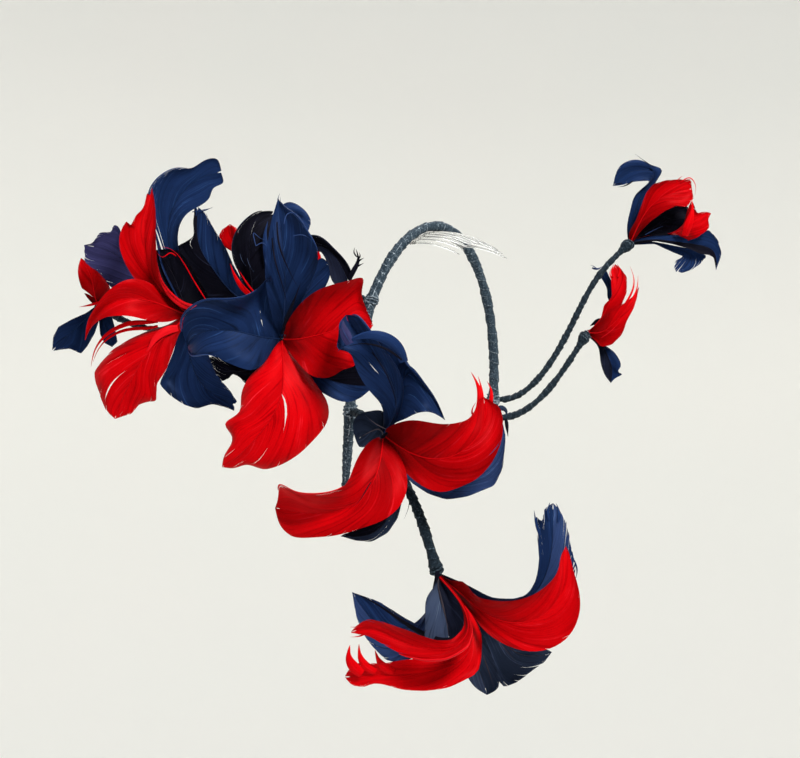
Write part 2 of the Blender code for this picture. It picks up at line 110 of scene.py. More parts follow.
# Each feather as the photograph shows it. rib is its middle from the first bend to the tip, and left and right are
# its edges as seen from root to tip, all as pixel x, pixel y and depth. The rib's depth is millimetres toward the
# viewer from the flower's heart, and an edge's is millimetres toward the viewer from the rib beside it. bulge bows
# the left and the right vane toward the viewer, as a share of their width. slits are splits that show: the side, the
# share of the vane where it lies, the shares of the barb where it starts and ends, and its width. shades gives the
# left and the right vane's dye, where it isn't the name's; a few near-black vanes there are painted shade. folds are
# stretches of an edge that roll over: the side, the shares where the roll starts and ends, and its radius in
# millimetres. blades are single locks that stand off: their dye, half width in millimetres and line, as the rib's;
# a few near-black ones are painted shade. The last field is how many times farther than usual the painted shade
# near the root reaches.
Drawn = namedtuple(
    "Drawn", "name look bulge rib left right slits shades folds blades pooled", defaults=((), (), (), (), 1.0)
)
DRAWN = (
    Drawn("temple_navy_left", SMOOTH, (0.08, -0.2),
        ((262, 337, 7), (240, 332, 12), (216, 330, 15), (198, 334, 12), (188, 345, 5)),
        ((270, 354, 1), (262, 365, 4), (252, 370, 6), (238, 367, 6), (222, 360, 5), (208, 354, 5), (194, 355, 4),
         (188, 347, 0)),
        ((277, 320, 0), (274, 298, 2), (271, 276, 5), (258, 288, 9), (243, 297, 10), (225, 300, 10), (206, 301, 9),
         (192, 308, 8), (183, 319, 7), (182, 330, 5), (188, 347, 0)),
        slits=((1, 0.1, 0.2, 0.36, 0.012), (1, 0.15, 0.3, 0.44, 0.008)),
        folds=((1, 0.42, 0.9, 1.0), (0, 0.66, 0.97, 0.8)), pooled=0.8),
    Drawn("temple_navy_up", SMOOTH, (-0.12, -0.14),
        ((284, 312, 8), (285, 280, 12), (283, 250, 13), (280, 222, 9), (278, 202, 3)),
        ((274, 322, 0), (267, 292, 2), (265, 264, 4), (268, 240, 5), (271, 222, 4), (275, 208, 2), (278, 198, 0)),
        ((294, 318, 0), (306, 292, 3), (316, 270, 5), (318, 255, 6), (313, 241, 6), (305, 229, 5), (297, 218, 4),
         (290, 212, 3), (284, 207, 1), (278, 198, 0)),
        slits=((1, 0.45, 0.35, 0.62, 0.002),), folds=((1, 0.55, 0.97, 0.8),), pooled=1.8,
        blades=(
            ("navy_back", 0.22, ((284, 224, 18), (289, 213, 17), (296, 214, 17), (303, 222, 18), (309, 231, 18))),
            ("navy_back", 0.2, ((293, 236, 18), (303, 235, 18), (314, 243, 18))),
            ("navy", 0.35, ((279, 206, 4), (278, 199, 3), (280, 193, 2))),
            # The three near-black locks are painted shade: along the cup's creases and at its base.
            ("ink", 0.55, ((277, 222, 16), (279, 244, 18), (287, 266, 18), (298, 288, 14))),
            ("ink", 0.45, ((272, 238, 15), (275, 260, 17), (282, 284, 16), (288, 308, 12))),
            ("ink", 1.1, ((282, 334, 3), (288, 316, 9), (295, 298, 12), (301, 282, 13))),
        )),
    Drawn("temple_navy_back", SMOOTH, (0.2, 0.08),
        ((282, 300, -2), (283, 262, -4), (287, 232, -5), (295, 217, -3), (303, 222, 3)),
        ((276, 300, 0), (271, 262, 1), (272, 228, 2), (279, 208, 3), (288, 202, 3), (300, 206, 3), (308, 214, 2),
         (311, 224, 1), (307, 233, 0)),
        ((292, 300, 0), (302, 268, 1), (305, 248, 2), (306, 240, 2), (305, 234, 1), (305, 233, 0)),
        blades=(("navy", 0.35, ((276, 212, 3), (280, 204, 2), (280, 196, 1))),)),
    Drawn("temple_navy_side", SMOOTH, (-0.06, -0.06),
        ((297, 310, 0), (309, 288, -4), (321, 270, -6), (328, 264, -5)),
        ((292, 305, 0), (303, 282, 1), (315, 263, 2), (322, 258, 1), (328, 263, 0)),
        ((303, 315, 0), (318, 298, 1), (327, 284, 2), (330, 272, 1), (328, 264, 0))),
    Drawn("temple_red_right", SMOOTH, (-0.15, -0.12),
        ((298, 339, 9), (318, 335, 13), (340, 328, 12), (360, 321, 10), (373, 325, 7)),
        ((285, 328, 0), (291, 316, 3), (302, 302, 5), (318, 290, 7), (334, 284, 7), (350, 280, 6), (363, 278, 4),
         (362, 291, 2), (365, 305, 1), (373, 325, 0)),
        ((288, 350, 0), (299, 364, 3), (309, 374, 5), (320, 378, 6), (333, 376, 6), (345, 369, 5), (355, 365, 4),
         (354, 354, 2), (362, 342, 1), (373, 325, 0)),
        pooled=1.3),
    Drawn("temple_red_low", SMOOTH, (0.13, 0.13),
        ((283, 360, 10), (283, 385, 17), (275, 412, 21), (256, 438, 22), (238, 456, 20), (222, 467, 16)),
        ((292, 354, -1), (305, 368, -4), (316, 384, -7), (326, 399, -9), (329, 413, -10), (325, 426, -9),
         (313, 441, -8), (298, 455, -6), (281, 465, -5), (262, 469, -4), (246, 465, -2), (235, 468, -1),
         (222, 467, 0)),
        ((274, 348, -1), (265, 362, -3), (254, 372, -5), (246, 382, -6), (241, 397, -7), (238, 413, -6),
         (225, 424, -5), (232, 437, -3), (225, 454, -1), (222, 467, 0)),
        slits=((0, 0.4, 0.02, 0.34, 0.012), (0, 0.5, 0.45, 0.72, 0.004), (0, 0.62, 0.55, 0.85, 0.004),
         (1, 0.6, 0.5, 0.85, 0.005)),
        pooled=0.3),
    Drawn("temple_navy_under", SMOOTH, (-0.08, -0.08),
        ((302, 362, -4), (325, 378, -6), (350, 385, -8), (370, 386, -8)),
        ((300, 350, 0), (325, 362, 2), (350, 362, 2), (366, 370, 1), (372, 388, 0)),
        ((300, 370, 0), (312, 385, 2), (330, 397, 3), (345, 402, 3), (360, 398, 2), (372, 388, 0)),
        # The left vane's near-black is painted shade above the lit right vane, and the near-black lock is painted
        # shade over the heart.
        shades=("ink", "navy"), blades=(("ink", 1.3, ((278, 342, 1), (281, 337, 1), (284, 332, 1))),)),
    Drawn("temple_navy_claw", WILD, (-0.06, -0.06),
        ((264, 358, -3), (246, 370, -2), (226, 369, 1), (212, 361, 2)),
        ((268, 366, 0), (254, 378, 1), (246, 385, 1), (239, 377, 1), (230, 373, 1), (229, 379, 1), (221, 382, 1),
         (214, 372, 1), (209, 357, 0)),
        ((262, 350, 0), (244, 356, 1), (226, 358, 1), (215, 354, 1), (209, 357, 0)),
        shades=("ink", "ink")),
    Drawn("rear_red_up", RAGGED, (-0.16, -0.14),
        ((175, 302, 6), (158, 285, 10), (147, 262, 12), (144, 235, 12), (148, 210, 9), (152, 190, 6)),
        ((168, 309, 0), (150, 296, 2), (134, 279, 5), (124, 262, 7), (119, 248, 8), (119, 234, 8), (126, 219, 6),
         (130, 227, 5), (136, 214, 4), (141, 211, 3), (144, 206, 2), (147, 191, 1), (150, 197, 0), (152, 188, 0)),
        ((194, 308, 0), (181, 303, 3), (169, 292, 6), (161, 280, 7), (157, 262, 7), (156, 240, 6), (156, 218, 4),
         (155, 202, 2), (152, 188, 0)),
        pooled=1.9,
        blades=(
            ("red_back", 2.0, ((198, 308, 2), (182, 304, 10), (169, 293, 15), (161, 280, 17), (157, 262, 16))),
            ("red", 0.4, ((206, 300, -3), (196, 284, -4), (185, 265, -4), (177, 254, -3), (168, 248, -2),
             (157, 247, 0))),
            ("red", 0.35, ((176, 256, -3), (170, 253, -2), (163, 257, -1), (157, 253, 0))),
        )),
    Drawn("rear_red_left", SMOOTH, (-0.1, 0.12),
        ((170, 308, 11), (150, 301, 18), (126, 299, 23), (106, 306, 23), (93, 320, 19), (86, 338, 14)),
        ((172, 321, 0), (158, 322, 2), (142, 319, 4), (128, 316, 5), (114, 316, 5), (104, 318, 4), (96, 323, 3),
         (89, 331, 1), (85, 340, 0)),
        ((165, 296, 0), (150, 283, 3), (138, 279, 5), (126, 280, 6), (114, 286, 5), (103, 296, 4), (94, 309, 3),
         (88, 320, 1), (85, 340, 0)),
        pooled=1.2),
    Drawn("rear_red_low", RAGGED, (0.12, 0.12),
        ((170, 332, 12), (151, 350, 18), (134, 375, 20), (123, 398, 18), (115, 418, 15)),
        ((186, 322, 0), (178, 336, -3), (173, 352, -5), (166, 371, -7), (157, 384, -7), (157, 402, -6), (149, 402, -5),
         (139, 405, -4), (132, 414, -2), (115, 419, 0)),
        ((168, 325, 0), (147, 331, -2), (130, 339, -4), (113, 349, -6), (102, 360, -7), (94, 372, -7), (95, 382, -6),
         (100, 396, -4), (106, 411, -2), (115, 419, 0)),
        slits=((1, 0.52, 0.3, 0.76, 0.01), (1, 0.3, 0.5, 0.8, 0.0015), (0, 0.75, 0.4, 2.0, 0.006)),
        blades=(
            ("red", 1.45, ((158, 321, 13), (150, 322, 14), (132, 323, 17), (117, 328, 18), (103, 338, 17),
             (95, 350, 15), (91, 367, 12))),
            ("red", 1.05, ((158, 326, 13), (148, 328, 14), (132, 329, 16), (117, 333, 16), (105, 341, 15),
             (97, 352, 14), (93, 362, 12))),
            ("red_back", 2.6, ((178, 328, 10), (166, 331, 15), (156, 338, 17), (150, 347, 18), (143, 357, 17))),
        )),
    Drawn("rear_navy_crest", SMOOTH, (-0.12, -0.1),
        ((182, 290, -5), (173, 262, -7), (168, 235, -7), (172, 210, -7), (184, 191, -6), (203, 177, -4),
         (221, 172, -2)),
        ((176, 296, 0), (162, 268, 2), (156, 240, 3), (151, 215, 4), (149, 194, 5), (156, 181, 6), (167, 172, 6),
         (180, 168, 5), (191, 168, 4), (203, 161, 3), (217, 159, 1), (221, 170, 0)),
        ((206, 300, 0), (192, 278, 2), (181, 258, 3), (178, 242, 4), (180, 225, 5), (187, 214, 5), (198, 207, 4),
         (210, 197, 3), (214, 188, 2), (223, 183, 1), (221, 173, 0)),
        slits=((0, 0.16, 0.36, 0.92, 0.014), (0, 0.22, 0.4, 0.7, 0.006)), folds=((0, 0.45, 0.8, 0.7),),
        blades=(("navy", 0.3, ((192, 212, -3), (202, 210, -2), (212, 208, -2))),)),
    Drawn("rear_navy_fall", RAGGED, (-0.1, -0.12),
        ((187, 336, -2), (191, 360, 0), (199, 380, 1), (215, 395, 3), (235, 405, 3)),
        ((198, 332, 0), (207, 350, 2), (213, 366, 3), (221, 380, 3), (230, 390, 2), (237, 401, 0)),
        ((178, 330, 0), (174, 350, 3), (165, 372, 5), (159, 384, 6), (170, 396, 7), (184, 405, 7), (197, 409, 6),
         (212, 404, 4), (224, 407, 2), (234, 411, 0))),
    Drawn("rear_navy_inner", SMOOTH, (-0.1, -0.1),
        ((180, 293, -3), (172, 273, -5), (160, 254, -5)),
        ((168, 297, 0), (158, 279, 1), (154, 262, 1), (156, 250, 0)),
        ((209, 302, 0), (202, 285, 1), (190, 264, 2), (174, 250, 1), (156, 250, 0)),
        # Near-black on both sides: painted shade of the crest's shadowed inside.
        shades=("ink", "ink")),
    Drawn("rear_navy_back", RAGGED, (-0.05, -0.08),
        ((165, 298, -6), (140, 276, -9), (115, 254, -10), (92, 246, -10)),
        ((160, 306, 0), (130, 292, 1), (112, 289, 2), (98, 273, 2), (84, 262, 1), (84, 245, 0)),
        ((162, 285, 0), (142, 258, 1), (123, 240, 2), (119, 226, 2), (113, 223, 2), (112, 232, 1), (99, 232, 1),
         (93, 243, 1), (84, 245, 0)),
        shades=("plum", "plum")),
    Drawn("tail_red_up", SMOOTH, (-0.14, -0.14),
        ((95, 296, 2), (92, 281, 5), (87, 269, 5), (81, 259, 3)),
        ((89, 300, 0), (83, 291, 1), (79, 280, 2), (78, 268, 1), (81, 258, 0)),
        ((100, 302, 0), (110, 291, 2), (106, 280, 2), (96, 269, 1), (87, 262, 1), (81, 258, 0)),
        slits=((0, 0.12, 0.3, 2.0, 0.02),), blades=(("red", 0.9, ((101, 302, 3), (90, 305, 4), (79, 307, 3))),)),
    Drawn("tail_navy_left", RAGGED, (-0.1, -0.1),
        ((88, 317, 2), (76, 328, 3), (64, 339, 2), (55, 348, 1)),
        ((100, 318, 0), (95, 333, 1), (87, 347, 1), (81, 354, 1), (70, 349, 1), (60, 350, 0), (53, 351, 0)),
        ((86, 313, 0), (72, 319, 1), (58, 327, 2), (53, 337, 1), (52, 350, 0))),
    Drawn("tail_navy_low", RAGGED, (-0.05, -0.05),
        ((103, 321, -4), (108, 335, -5), (112, 346, -4)),
        ((112, 316, 0), (115, 328, 1), (118, 342, 1), (112, 347, 0)),
        ((99, 321, 0), (100, 334, 1), (104, 343, 1), (112, 347, 0))),
    Drawn("inner_navy_left", RAGGED, (-0.12, -0.1),
        ((232, 292, 2), (214, 270, 5), (200, 247, 6), (197, 224, 4), (198, 208, 1)),
        ((222, 306, 0), (202, 305, 1), (188, 288, 2), (179, 264, 3), (176, 246, 4), (187, 241, 4), (194, 237, 3),
         (193, 222, 2), (194, 214, 1), (194, 208, 0)),
        ((252, 298, 0), (243, 282, 2), (233, 264, 3), (226, 248, 3), (219, 236, 3), (211, 223, 2), (205, 212, 1),
         (198, 207, 0)),
        slits=((0, 0.5, 0.4, 0.8, 0.008),), shades=("ink", "navy"),
        blades=(
            ("navy", 0.4, ((199, 212, 3), (206, 210, 3), (213, 207, 2))),
            ("navy", 0.4, ((200, 218, 3), (207, 217, 3), (206, 213, 3))),
            ("navy", 0.4, ((203, 222, 2), (208, 220, 2), (211, 223, 2))),
            ("navy", 0.5, ((196, 216, 3), (196, 208, 3), (191, 205, 2))),
        )),
    Drawn("inner_navy_curl", SMOOTH, (-0.18, -0.1),
        ((252, 287, 2), (249, 262, 4), (253, 236, 3), (263, 219, -1), (273, 214, -4)),
        ((243, 284, 0), (236, 266, 2), (233, 247, 4), (238, 231, 4), (248, 219, 3), (259, 212, 2), (273, 211, 0)),
        ((272, 292, 0), (280, 265, 1), (280, 242, 1), (278, 226, 1), (275, 213, 0)),
        slits=((0, 0.6, 0.22, 0.4, 0.004),), shades=("ink", "ink"), folds=((0, 0.3, 0.9, 0.9),),
        blades=(
            ("navy_back", 0.3, ((256, 246, 8), (254, 233, 8), (260, 238, 8), (268, 240, 7))),
            ("navy_back", 0.3, ((256, 246, 8), (262, 243, 8), (269, 249, 7))),
            ("navy", 1.9, ((267, 264, 5), (266, 250, 7), (265, 236, 6), (268, 221, 3))),
            ("slate_back", 0.12, ((240, 254, 8), (242, 260, 9), (246, 266, 9))),
            ("slate_back", 0.12, ((247, 258, 9), (250, 266, 9), (254, 272, 9))),
        )),
    Drawn("inner_red_ball", RAGGED, (0.18, 0.18),
        ((247, 285, -9), (242, 266, -12), (238, 250, -12), (231, 237, -10), (230, 225, -8)),
        ((244, 283, 0), (239, 266, 0), (233, 252, 1), (222, 246, 2), (218, 237, 2), (222, 229, 1), (230, 224, 0)),
        ((250, 283, 0), (245, 265, 0), (243, 250, 1), (240, 237, 2), (237, 228, 1), (230, 224, 0)),
        blades=(
            ("red", 1.7, ((254, 298, 8), (242, 287, 10), (235, 276, 10), (230, 263, 7))),
            ("red", 0.6, ((256, 294, 10), (249, 286, 12), (243, 277, 12), (238, 269, 10))),
        )),
    Drawn("inner_navy_arch", SMOOTH, (-0.1, -0.1),
        ((282, 275, -14), (304, 249, -14), (323, 247, -13), (339, 262, -12), (349, 282, -12)),
        ((276, 264, 0), (298, 240, 1), (316, 236, 2), (333, 248, 2), (346, 262, 1), (352, 276, 1), (352, 286, 0)),
        ((288, 285, 0), (308, 262, 1), (318, 250, 1), (325, 258, 1), (329, 272, 2), (334, 284, 1), (345, 290, 0)),
        shades=("ink", "ink_back"), folds=((0, 0.4, 0.95, 0.7),),
        blades=(
            ("ink", 1.7, ((349, 280, -10), (354, 270, -9), (358, 261, -9), (356, 249, -8))),
            ("ink", 0.8, ((356, 263, -9), (360, 260, -8), (364, 258, -8))),
            ("ink", 0.7, ((354, 268, -9), (360, 265, -8), (364, 263, -8))),
            ("ink", 0.6, ((357, 260, -9), (360, 256, -8), (359, 252, -8))),
            ("ink", 0.5, ((357, 257, -9), (354, 252, -8), (355, 247, -8))),
        )),
    Drawn("inner_red_right", RAGGED, (0.05, 0.05),
        ((278, 288, -16), (302, 272, -21), (318, 251, -22)),
        ((276, 282, 0), (299, 264, 0), (313, 250, 0), (316, 247, 0)),
        ((288, 290, 0), (314, 276, 0), (323, 268, 0), (321, 255, 0), (317, 247, 0))),
    Drawn("cheek_navy_up", SMOOTH, (-0.1, -0.16),
        ((396, 405, 7), (391, 380, 13), (380, 361, 17), (367, 344, 19), (356, 331, 17), (347, 320, 12)),
        ((383, 424, 0), (382, 407, 1), (373, 395, 3), (365, 385, 4), (359, 375, 5), (354, 363, 5), (351, 355, 5),
         (345, 351, 6), (338, 349, 6), (338, 338, 5), (339, 324, 3), (346, 315, 0)),
        ((397, 420, 0), (402, 405, 1), (404, 390, 2), (402, 378, 3), (397, 366, 4), (390, 356, 5), (384, 349, 5),
         (378, 341, 5), (370, 330, 5), (361, 319, 4), (353, 315, 1), (346, 315, 0)),
        slits=((0, 0.34, 0.36, 0.46, 0.01),), folds=((1, 0.72, 0.95, 0.8),), pooled=1.4,
        blades=(
            ("ink", 0.35, ((372, 352, 21), (383, 368, 20), (391, 385, 16), (396, 404, 10), (397, 418, 4))),
            ("navy", 3.4, ((404, 362, 20), (397, 347, 24), (385, 338, 27), (368, 335, 29), (352, 340, 28),
             (338, 351, 25))),
            # This near-black lock is a painted shadow under the rolled lobe.
            ("ink", 0.7, ((402, 360, 23), (388, 350, 26), (374, 345, 28), (358, 344, 28), (346, 347, 27))),
            ("plum", 3.0, ((350, 344, 28), (345, 333, 27), (343, 320, 21))),
            ("navy_back", 0.2, ((350, 342, 29), (344, 332, 28), (341, 324, 24))),
        )),
    Drawn("cheek_navy_arch", SMOOTH, (0.1, -0.1),
        ((393, 412, 2), (400, 388, 4), (410, 373, 5), (423, 385, 5), (435, 403, 4), (444, 419, 3)),
        ((388, 402, 0), (384, 375, 0), (380, 348, 0), (377, 331, 0), (387, 333, 1), (395, 341, 2), (400, 350, 3),
         (402, 358, 3), (412, 367, 3), (423, 380, 2), (433, 394, 1), (439, 405, 1), (445, 420, 0)),
        ((393, 425, 0), (405, 419, 2), (415, 414, 4), (428, 412, 4), (437, 415, 2), (445, 420, 0)),
        pooled=2.4),
    Drawn("cheek_red_right", SMOOTH, (-0.14, -0.16),
        ((402, 448, 8), (426, 458, 14), (450, 457, 17), (471, 444, 17), (483, 425, 13), (484, 401, 9)),
        ((386, 429, 0), (397, 423, 3), (412, 420, 5), (428, 422, 7), (445, 424, 7), (460, 422, 6), (469, 418, 4),
         (475, 409, 3), (479, 400, 2), (484, 397, 0)),
        ((388, 450, 0), (401, 468, 2), (415, 481, 5), (428, 489, 7), (443, 492, 8), (460, 487, 9), (475, 480, 9),
         (488, 468, 8), (497, 453, 7), (502, 438, 5), (503, 420, 3), (499, 407, 2), (491, 401, 1), (484, 397, 0)),
        slits=((1, 0.34, 0.8, 0.95, 0.008),), pooled=2.7,
        blades=(
            ("red", 1.9, ((477, 416, 8), (480, 400, 9), (478, 386, 8), (471, 372, 7))),
            ("red", 1.2, ((482, 412, 8), (482, 398, 9), (481, 387, 8), (478, 376, 7))),
            ("red", 1.3, ((488, 412, 8), (491, 400, 9), (491, 390, 8), (487, 381, 7))),
            ("red", 0.6, ((476, 420, 8), (472, 412, 9), (476, 402, 9))),
        )),
    Drawn("cheek_navy_shade", RAGGED, (-0.05, -0.1),
        ((402, 455, -3), (427, 475, -3), (456, 482, -2), (482, 470, -1), (497, 450, 0), (502, 427, 0)),
        ((406, 445, 0), (430, 455, 0), (460, 455, 0), (480, 440, 0), (493, 426, 0), (499, 420, 1), (503, 424, 0)),
        ((396, 462, 0), (410, 482, 1), (428, 494, 2), (447, 500, 3), (467, 497, 4), (482, 491, 4), (495, 486, 4),
         (503, 468, 3), (505, 450, 2), (506, 436, 1), (503, 424, 0)),
        shades=("navy_back", "navy_back"),
        blades=(
            ("slate", 1.7, ((496, 414, 1), (501, 408, 2), (506, 411, 1), (505, 418, 0))),
            ("ink", 1.1, ((506, 419, 0), (507, 427, 1), (508, 437, 1))),
        )),
    Drawn("cheek_red_left", SMOOTH, (0.08, -0.16),
        ((381, 456, 10), (374, 480, 18), (356, 503, 22), (326, 513, 22), (298, 512, 18), (277, 508, 14)),
        ((396, 450, 0), (406, 471, 1), (407, 489, 2), (400, 506, 3), (385, 519, 3), (362, 528, 3), (338, 535, 2),
         (310, 538, 1), (291, 536, 0), (281, 527, 0), (275, 508, 0)),
        ((372, 440, 0), (361, 452, 3), (352, 471, 6), (345, 485, 8), (330, 493, 9), (312, 495, 9), (295, 492, 8),
         (280, 486, 5), (278, 496, 2), (275, 508, 0)),
        folds=((1, 0.45, 0.88, 1.1),), pooled=1.5,
        # The near-black line is painted shade in a split of the vane.
        blades=(("ink", 0.3, ((371, 482, 26), (365, 492, 27), (360, 500, 27), (353, 507, 27))),)),
    Drawn("cheek_navy_low", RAGGED, (-0.06, -0.08),
        ((386, 465, -3), (391, 500, -2), (385, 522, -1), (370, 534, 0), (350, 537, 0)),
        ((398, 470, 0), (403, 498, 1), (398, 518, 2), (388, 533, 2), (372, 542, 2), (356, 541, 1), (340, 536, 0)),
        ((376, 462, 0), (374, 498, 0), (362, 518, 0), (352, 530, 0), (340, 536, 0)),
        slits=((0, 0.45, 0.4, 2.0, 0.006),), shades=("slate", "ink"),
        blades=(("ink", 0.35, ((402, 480, 0), (408, 492, 1), (409, 505, 1), (404, 519, 0))),)),
    Drawn("cheek_navy_calyx", SMOOTH, (-0.1, -0.1),
        ((380, 430, 2), (370, 432, 3), (361, 437, 1)),
        ((384, 440, 0), (376, 442, 1), (368, 446, 1), (360, 447, 1), (356, 441, 0)),
        ((388, 420, 0), (382, 411, 1), (370, 411, 1), (361, 413, 1), (355, 418, 1), (353, 430, 1), (356, 441, 0)),
        shades=("slate", "slate"),
        blades=(
            ("slate_rib", 0.3, ((388, 430, 5), (376, 424, 5), (365, 415, 5))),
            # The near-black lock is painted shade over the flower's heart.
            ("ink", 1.0, ((381, 438, 4), (386, 434, 6), (390, 430, 4))),
        )),
    Drawn("jaw_navy_leaf", SMOOTH, (-0.2, 0.06),
        ((439, 592, 5), (443, 608, 8), (447, 624, 8), (449, 637, 6)),
        ((446, 583, 0), (456, 595, 2), (464, 609, 4), (469, 622, 4), (467, 632, 3), (459, 638, 1), (449, 643, 0)),
        ((435, 584, 0), (430, 592, 1), (426, 600, 2), (425, 612, 3), (425, 624, 2), (426, 640, 1), (449, 643, 0)),
        shades=("ink_back", "slate_back"),
        blades=(
            ("slate_rib", 0.3, ((438, 586, 4), (443, 605, 9), (447, 625, 10), (449, 640, 8))),
            ("ink", 1.4, ((438, 571, 4), (437, 577, 4), (436, 584, 3))),
        )),
    Drawn("jaw_navy_point", RAGGED, (-0.05, -0.08),
        ((432, 602, -6), (414, 624, -8), (390, 630, -8), (369, 616, -6), (354, 595, -3)),
        ((440, 638, 0), (420, 656, 1), (398, 663, 1), (385, 660, 1), (372, 647, 1), (363, 634, 1), (356, 618, 1),
         (354, 604, 0), (352, 592, 0)),
        ((428, 612, 0), (420, 626, 1), (402, 616, 2), (384, 604, 2), (368, 597, 1), (352, 592, 0)),
        shades=("navy_back", "navy"),
        blades=(
            # The near-black lock is painted shade over the feather's upper part.
            ("ink", 1.5, ((464, 636, 11), (445, 640, 11), (420, 632, 4), (396, 617, -4), (373, 602, -5),
             (354, 593, -3))),
        )),
    Drawn("jaw_red_left", RAGGED, (0.1, -0.12),
        ((455, 595, 10), (466, 614, 16), (467, 633, 21), (452, 648, 24), (428, 649, 23), (400, 641, 21),
         (375, 630, 18), (353, 631, 15)),
        ((448, 583, 0), (461, 599, 0), (470, 615, 1), (473, 631, 2), (469, 646, 3), (460, 653, 4), (446, 660, 4),
         (425, 661, 4), (403, 656, 3), (385, 646, 2), (370, 637, 1), (351, 633, 0)),
        ((448, 587, 0), (458, 600, 0), (464, 614, -1), (464, 628, -1), (452, 640, 0), (436, 640, 1), (415, 633, 2),
         (395, 626, 2), (378, 620, 1), (365, 619, 1), (356, 625, 0), (351, 632, 0)),
        folds=((0, 0.3, 0.75, 0.8),), pooled=2.2,
        blades=(
            ("red", 0.5, ((366, 625, 17), (358, 627, 16), (350, 627, 15))),
            ("red", 0.5, ((368, 632, 17), (360, 636, 16), (350, 637, 15))),
        )),
    Drawn("jaw_red_low", RAGGED, (-0.12, -0.08),
        ((459, 602, 2), (472, 630, 6), (466, 655, 12), (441, 669, 15), (405, 675, 16), (370, 675, 14), (346, 677, 12)),
        ((468, 605, 0), (482, 633, 1), (482, 655, 2), (479, 672, 3), (465, 680, 4), (448, 688, 4), (425, 691, 4),
         (403, 690, 3), (385, 685, 2), (374, 683, 2), (362, 688, 1), (350, 685, 0), (345, 677, 0)),
        ((454, 608, 0), (460, 635, 0), (448, 650, 0), (425, 657, 1), (400, 660, 1), (384, 663, 1), (372, 663, 1),
         (360, 662, 1), (350, 666, 1), (345, 676, 0)),
        pooled=0.25,
        blades=(
            ("red", 3.2, ((362, 674, 15), (354, 667, 15), (349, 658, 15), (350, 645, 14))),
            ("red", 2.6, ((376, 672, 15), (366, 666, 15), (360, 656, 14), (359, 644, 13))),
            ("red", 2.6, ((394, 672, 16), (384, 667, 16), (378, 659, 15), (375, 650, 14))),
        )),
    Drawn("jaw_red_right", SMOOTH, (-0.12, -0.12),
        ((460, 593, 6), (485, 613, 11), (515, 623, 14), (545, 613, 13), (562, 590, 10), (566, 562, 7), (566, 549, 5)),
        ((449, 580, 0), (464, 582, 2), (474, 594, 4), (490, 600, 5), (510, 601, 6), (530, 596, 6), (547, 585, 5),
         (558, 570, 3), (561, 556, 1), (566, 546, 0)),
        ((452, 593, 0), (468, 609, 1), (482, 628, 3), (500, 642, 5), (520, 650, 6), (540, 651, 7), (558, 645, 7),
         (572, 632, 6), (580, 610, 5), (579, 590, 3), (573, 568, 1), (569, 553, 0), (566, 546, 0)),
        pooled=1.9),
    Drawn("jaw_navy_rise", WILD, (-0.08, -0.08),
        ((466, 592, -5), (500, 602, -6), (528, 598, -6), (545, 576, -5), (552, 545, -4), (553, 506, -3)),
        ((466, 584, 0), (492, 598, 1), (515, 599, 1), (529, 594, 1), (537, 578, 2), (539, 558, 2), (537, 535, 1),
         (535, 514, 1), (541, 522, 1), (544, 507, 0), (553, 503, 0)),
        ((470, 605, 0), (505, 614, 0), (537, 610, 0), (560, 592, 0), (575, 580, 1), (577, 565, 1), (572, 545, 1),
         (567, 522, 1), (560, 509, 0), (553, 503, 0)),
        shades=("navy", "navy_back"),
        blades=(
            ("navy", 0.5, ((574, 560, -3), (577, 570, -3), (575, 581, -3))),
            ("navy", 0.5, ((570, 548, -3), (573, 562, -3), (571, 574, -3))),
            ("navy", 1.0, ((540, 535, -3), (536, 522, -3), (534, 510, -3))),
            ("navy", 0.9, ((549, 520, -3), (548, 510, -3), (550, 502, -3))),
            ("navy", 0.9, ((558, 522, -3), (559, 512, -3), (556, 503, -3))),
        )),
    Drawn("jaw_navy_drop", SMOOTH, (-0.08, -0.08),
        ((457, 619, -8), (473, 654, -9), (486, 690, -6)),
        ((470, 612, 0), (488, 645, 1), (497, 670, 1), (498, 688, 1), (487, 695, 0)),
        ((450, 622, 0), (460, 652, 1), (468, 678, 1), (477, 689, 1), (487, 695, 0)),
        shades=("slate", "slate_back"),
        blades=(("slate_rib", 0.35, ((483, 655, -6), (489, 672, -6), (494, 687, -6))),)),
    Drawn("jaw_navy_fan", RAGGED, (-0.06, -0.1),
        ((468, 604, -14), (494, 632, -16), (520, 654, -16), (548, 655, -14)),
        ((481, 605, 0), (510, 630, 0), (540, 645, 0), (552, 652, 0)),
        ((463, 612, 0), (478, 645, 1), (492, 672, 2), (504, 688, 2), (514, 684, 2), (522, 680, 2), (533, 671, 1),
         (545, 662, 1), (552, 652, 0)),
        slits=((1, 0.55, 0.62, 2.0, 0.014), (1, 0.24, 0.7, 2.0, 0.008)), shades=("slate", "slate"),
        blades=(("slate_rib", 0.22, ((486, 630, -9), (504, 648, -10), (522, 670, -12))),)),
    Drawn("wing_navy_hook", SMOOTH, (-0.1, 0.14),
        ((632, 224, -1), (638, 204, 0), (648, 187, 1), (655, 174, 3), (640, 170, 5), (625, 175, 5), (614, 185, 3)),
        ((627, 227, 0), (631, 207, 1), (639, 191, 2), (650, 181, 3), (645, 181, 2), (634, 182, 1), (622, 185, 0),
         (613, 186, 0)),
        ((635, 228, 0), (643, 208, 0), (652, 192, 0), (656, 182, 0), (662, 170, 0), (652, 165, 1), (640, 160, 2),
         (628, 161, 2), (619, 167, 2), (615, 176, 1), (613, 186, 0)),
        blades=(
            ("ink", 0.3, ((655, 168, 6), (646, 162, 6), (635, 154, 5))),
            ("ink", 0.55, ((633, 181, 6), (624, 186, 6), (617, 187, 5))),
            ("ink", 0.4, ((622, 183, 6), (617, 184, 6), (612, 186, 5))),
        )),
    Drawn("wing_red_up", RAGGED, (-0.1, -0.12),
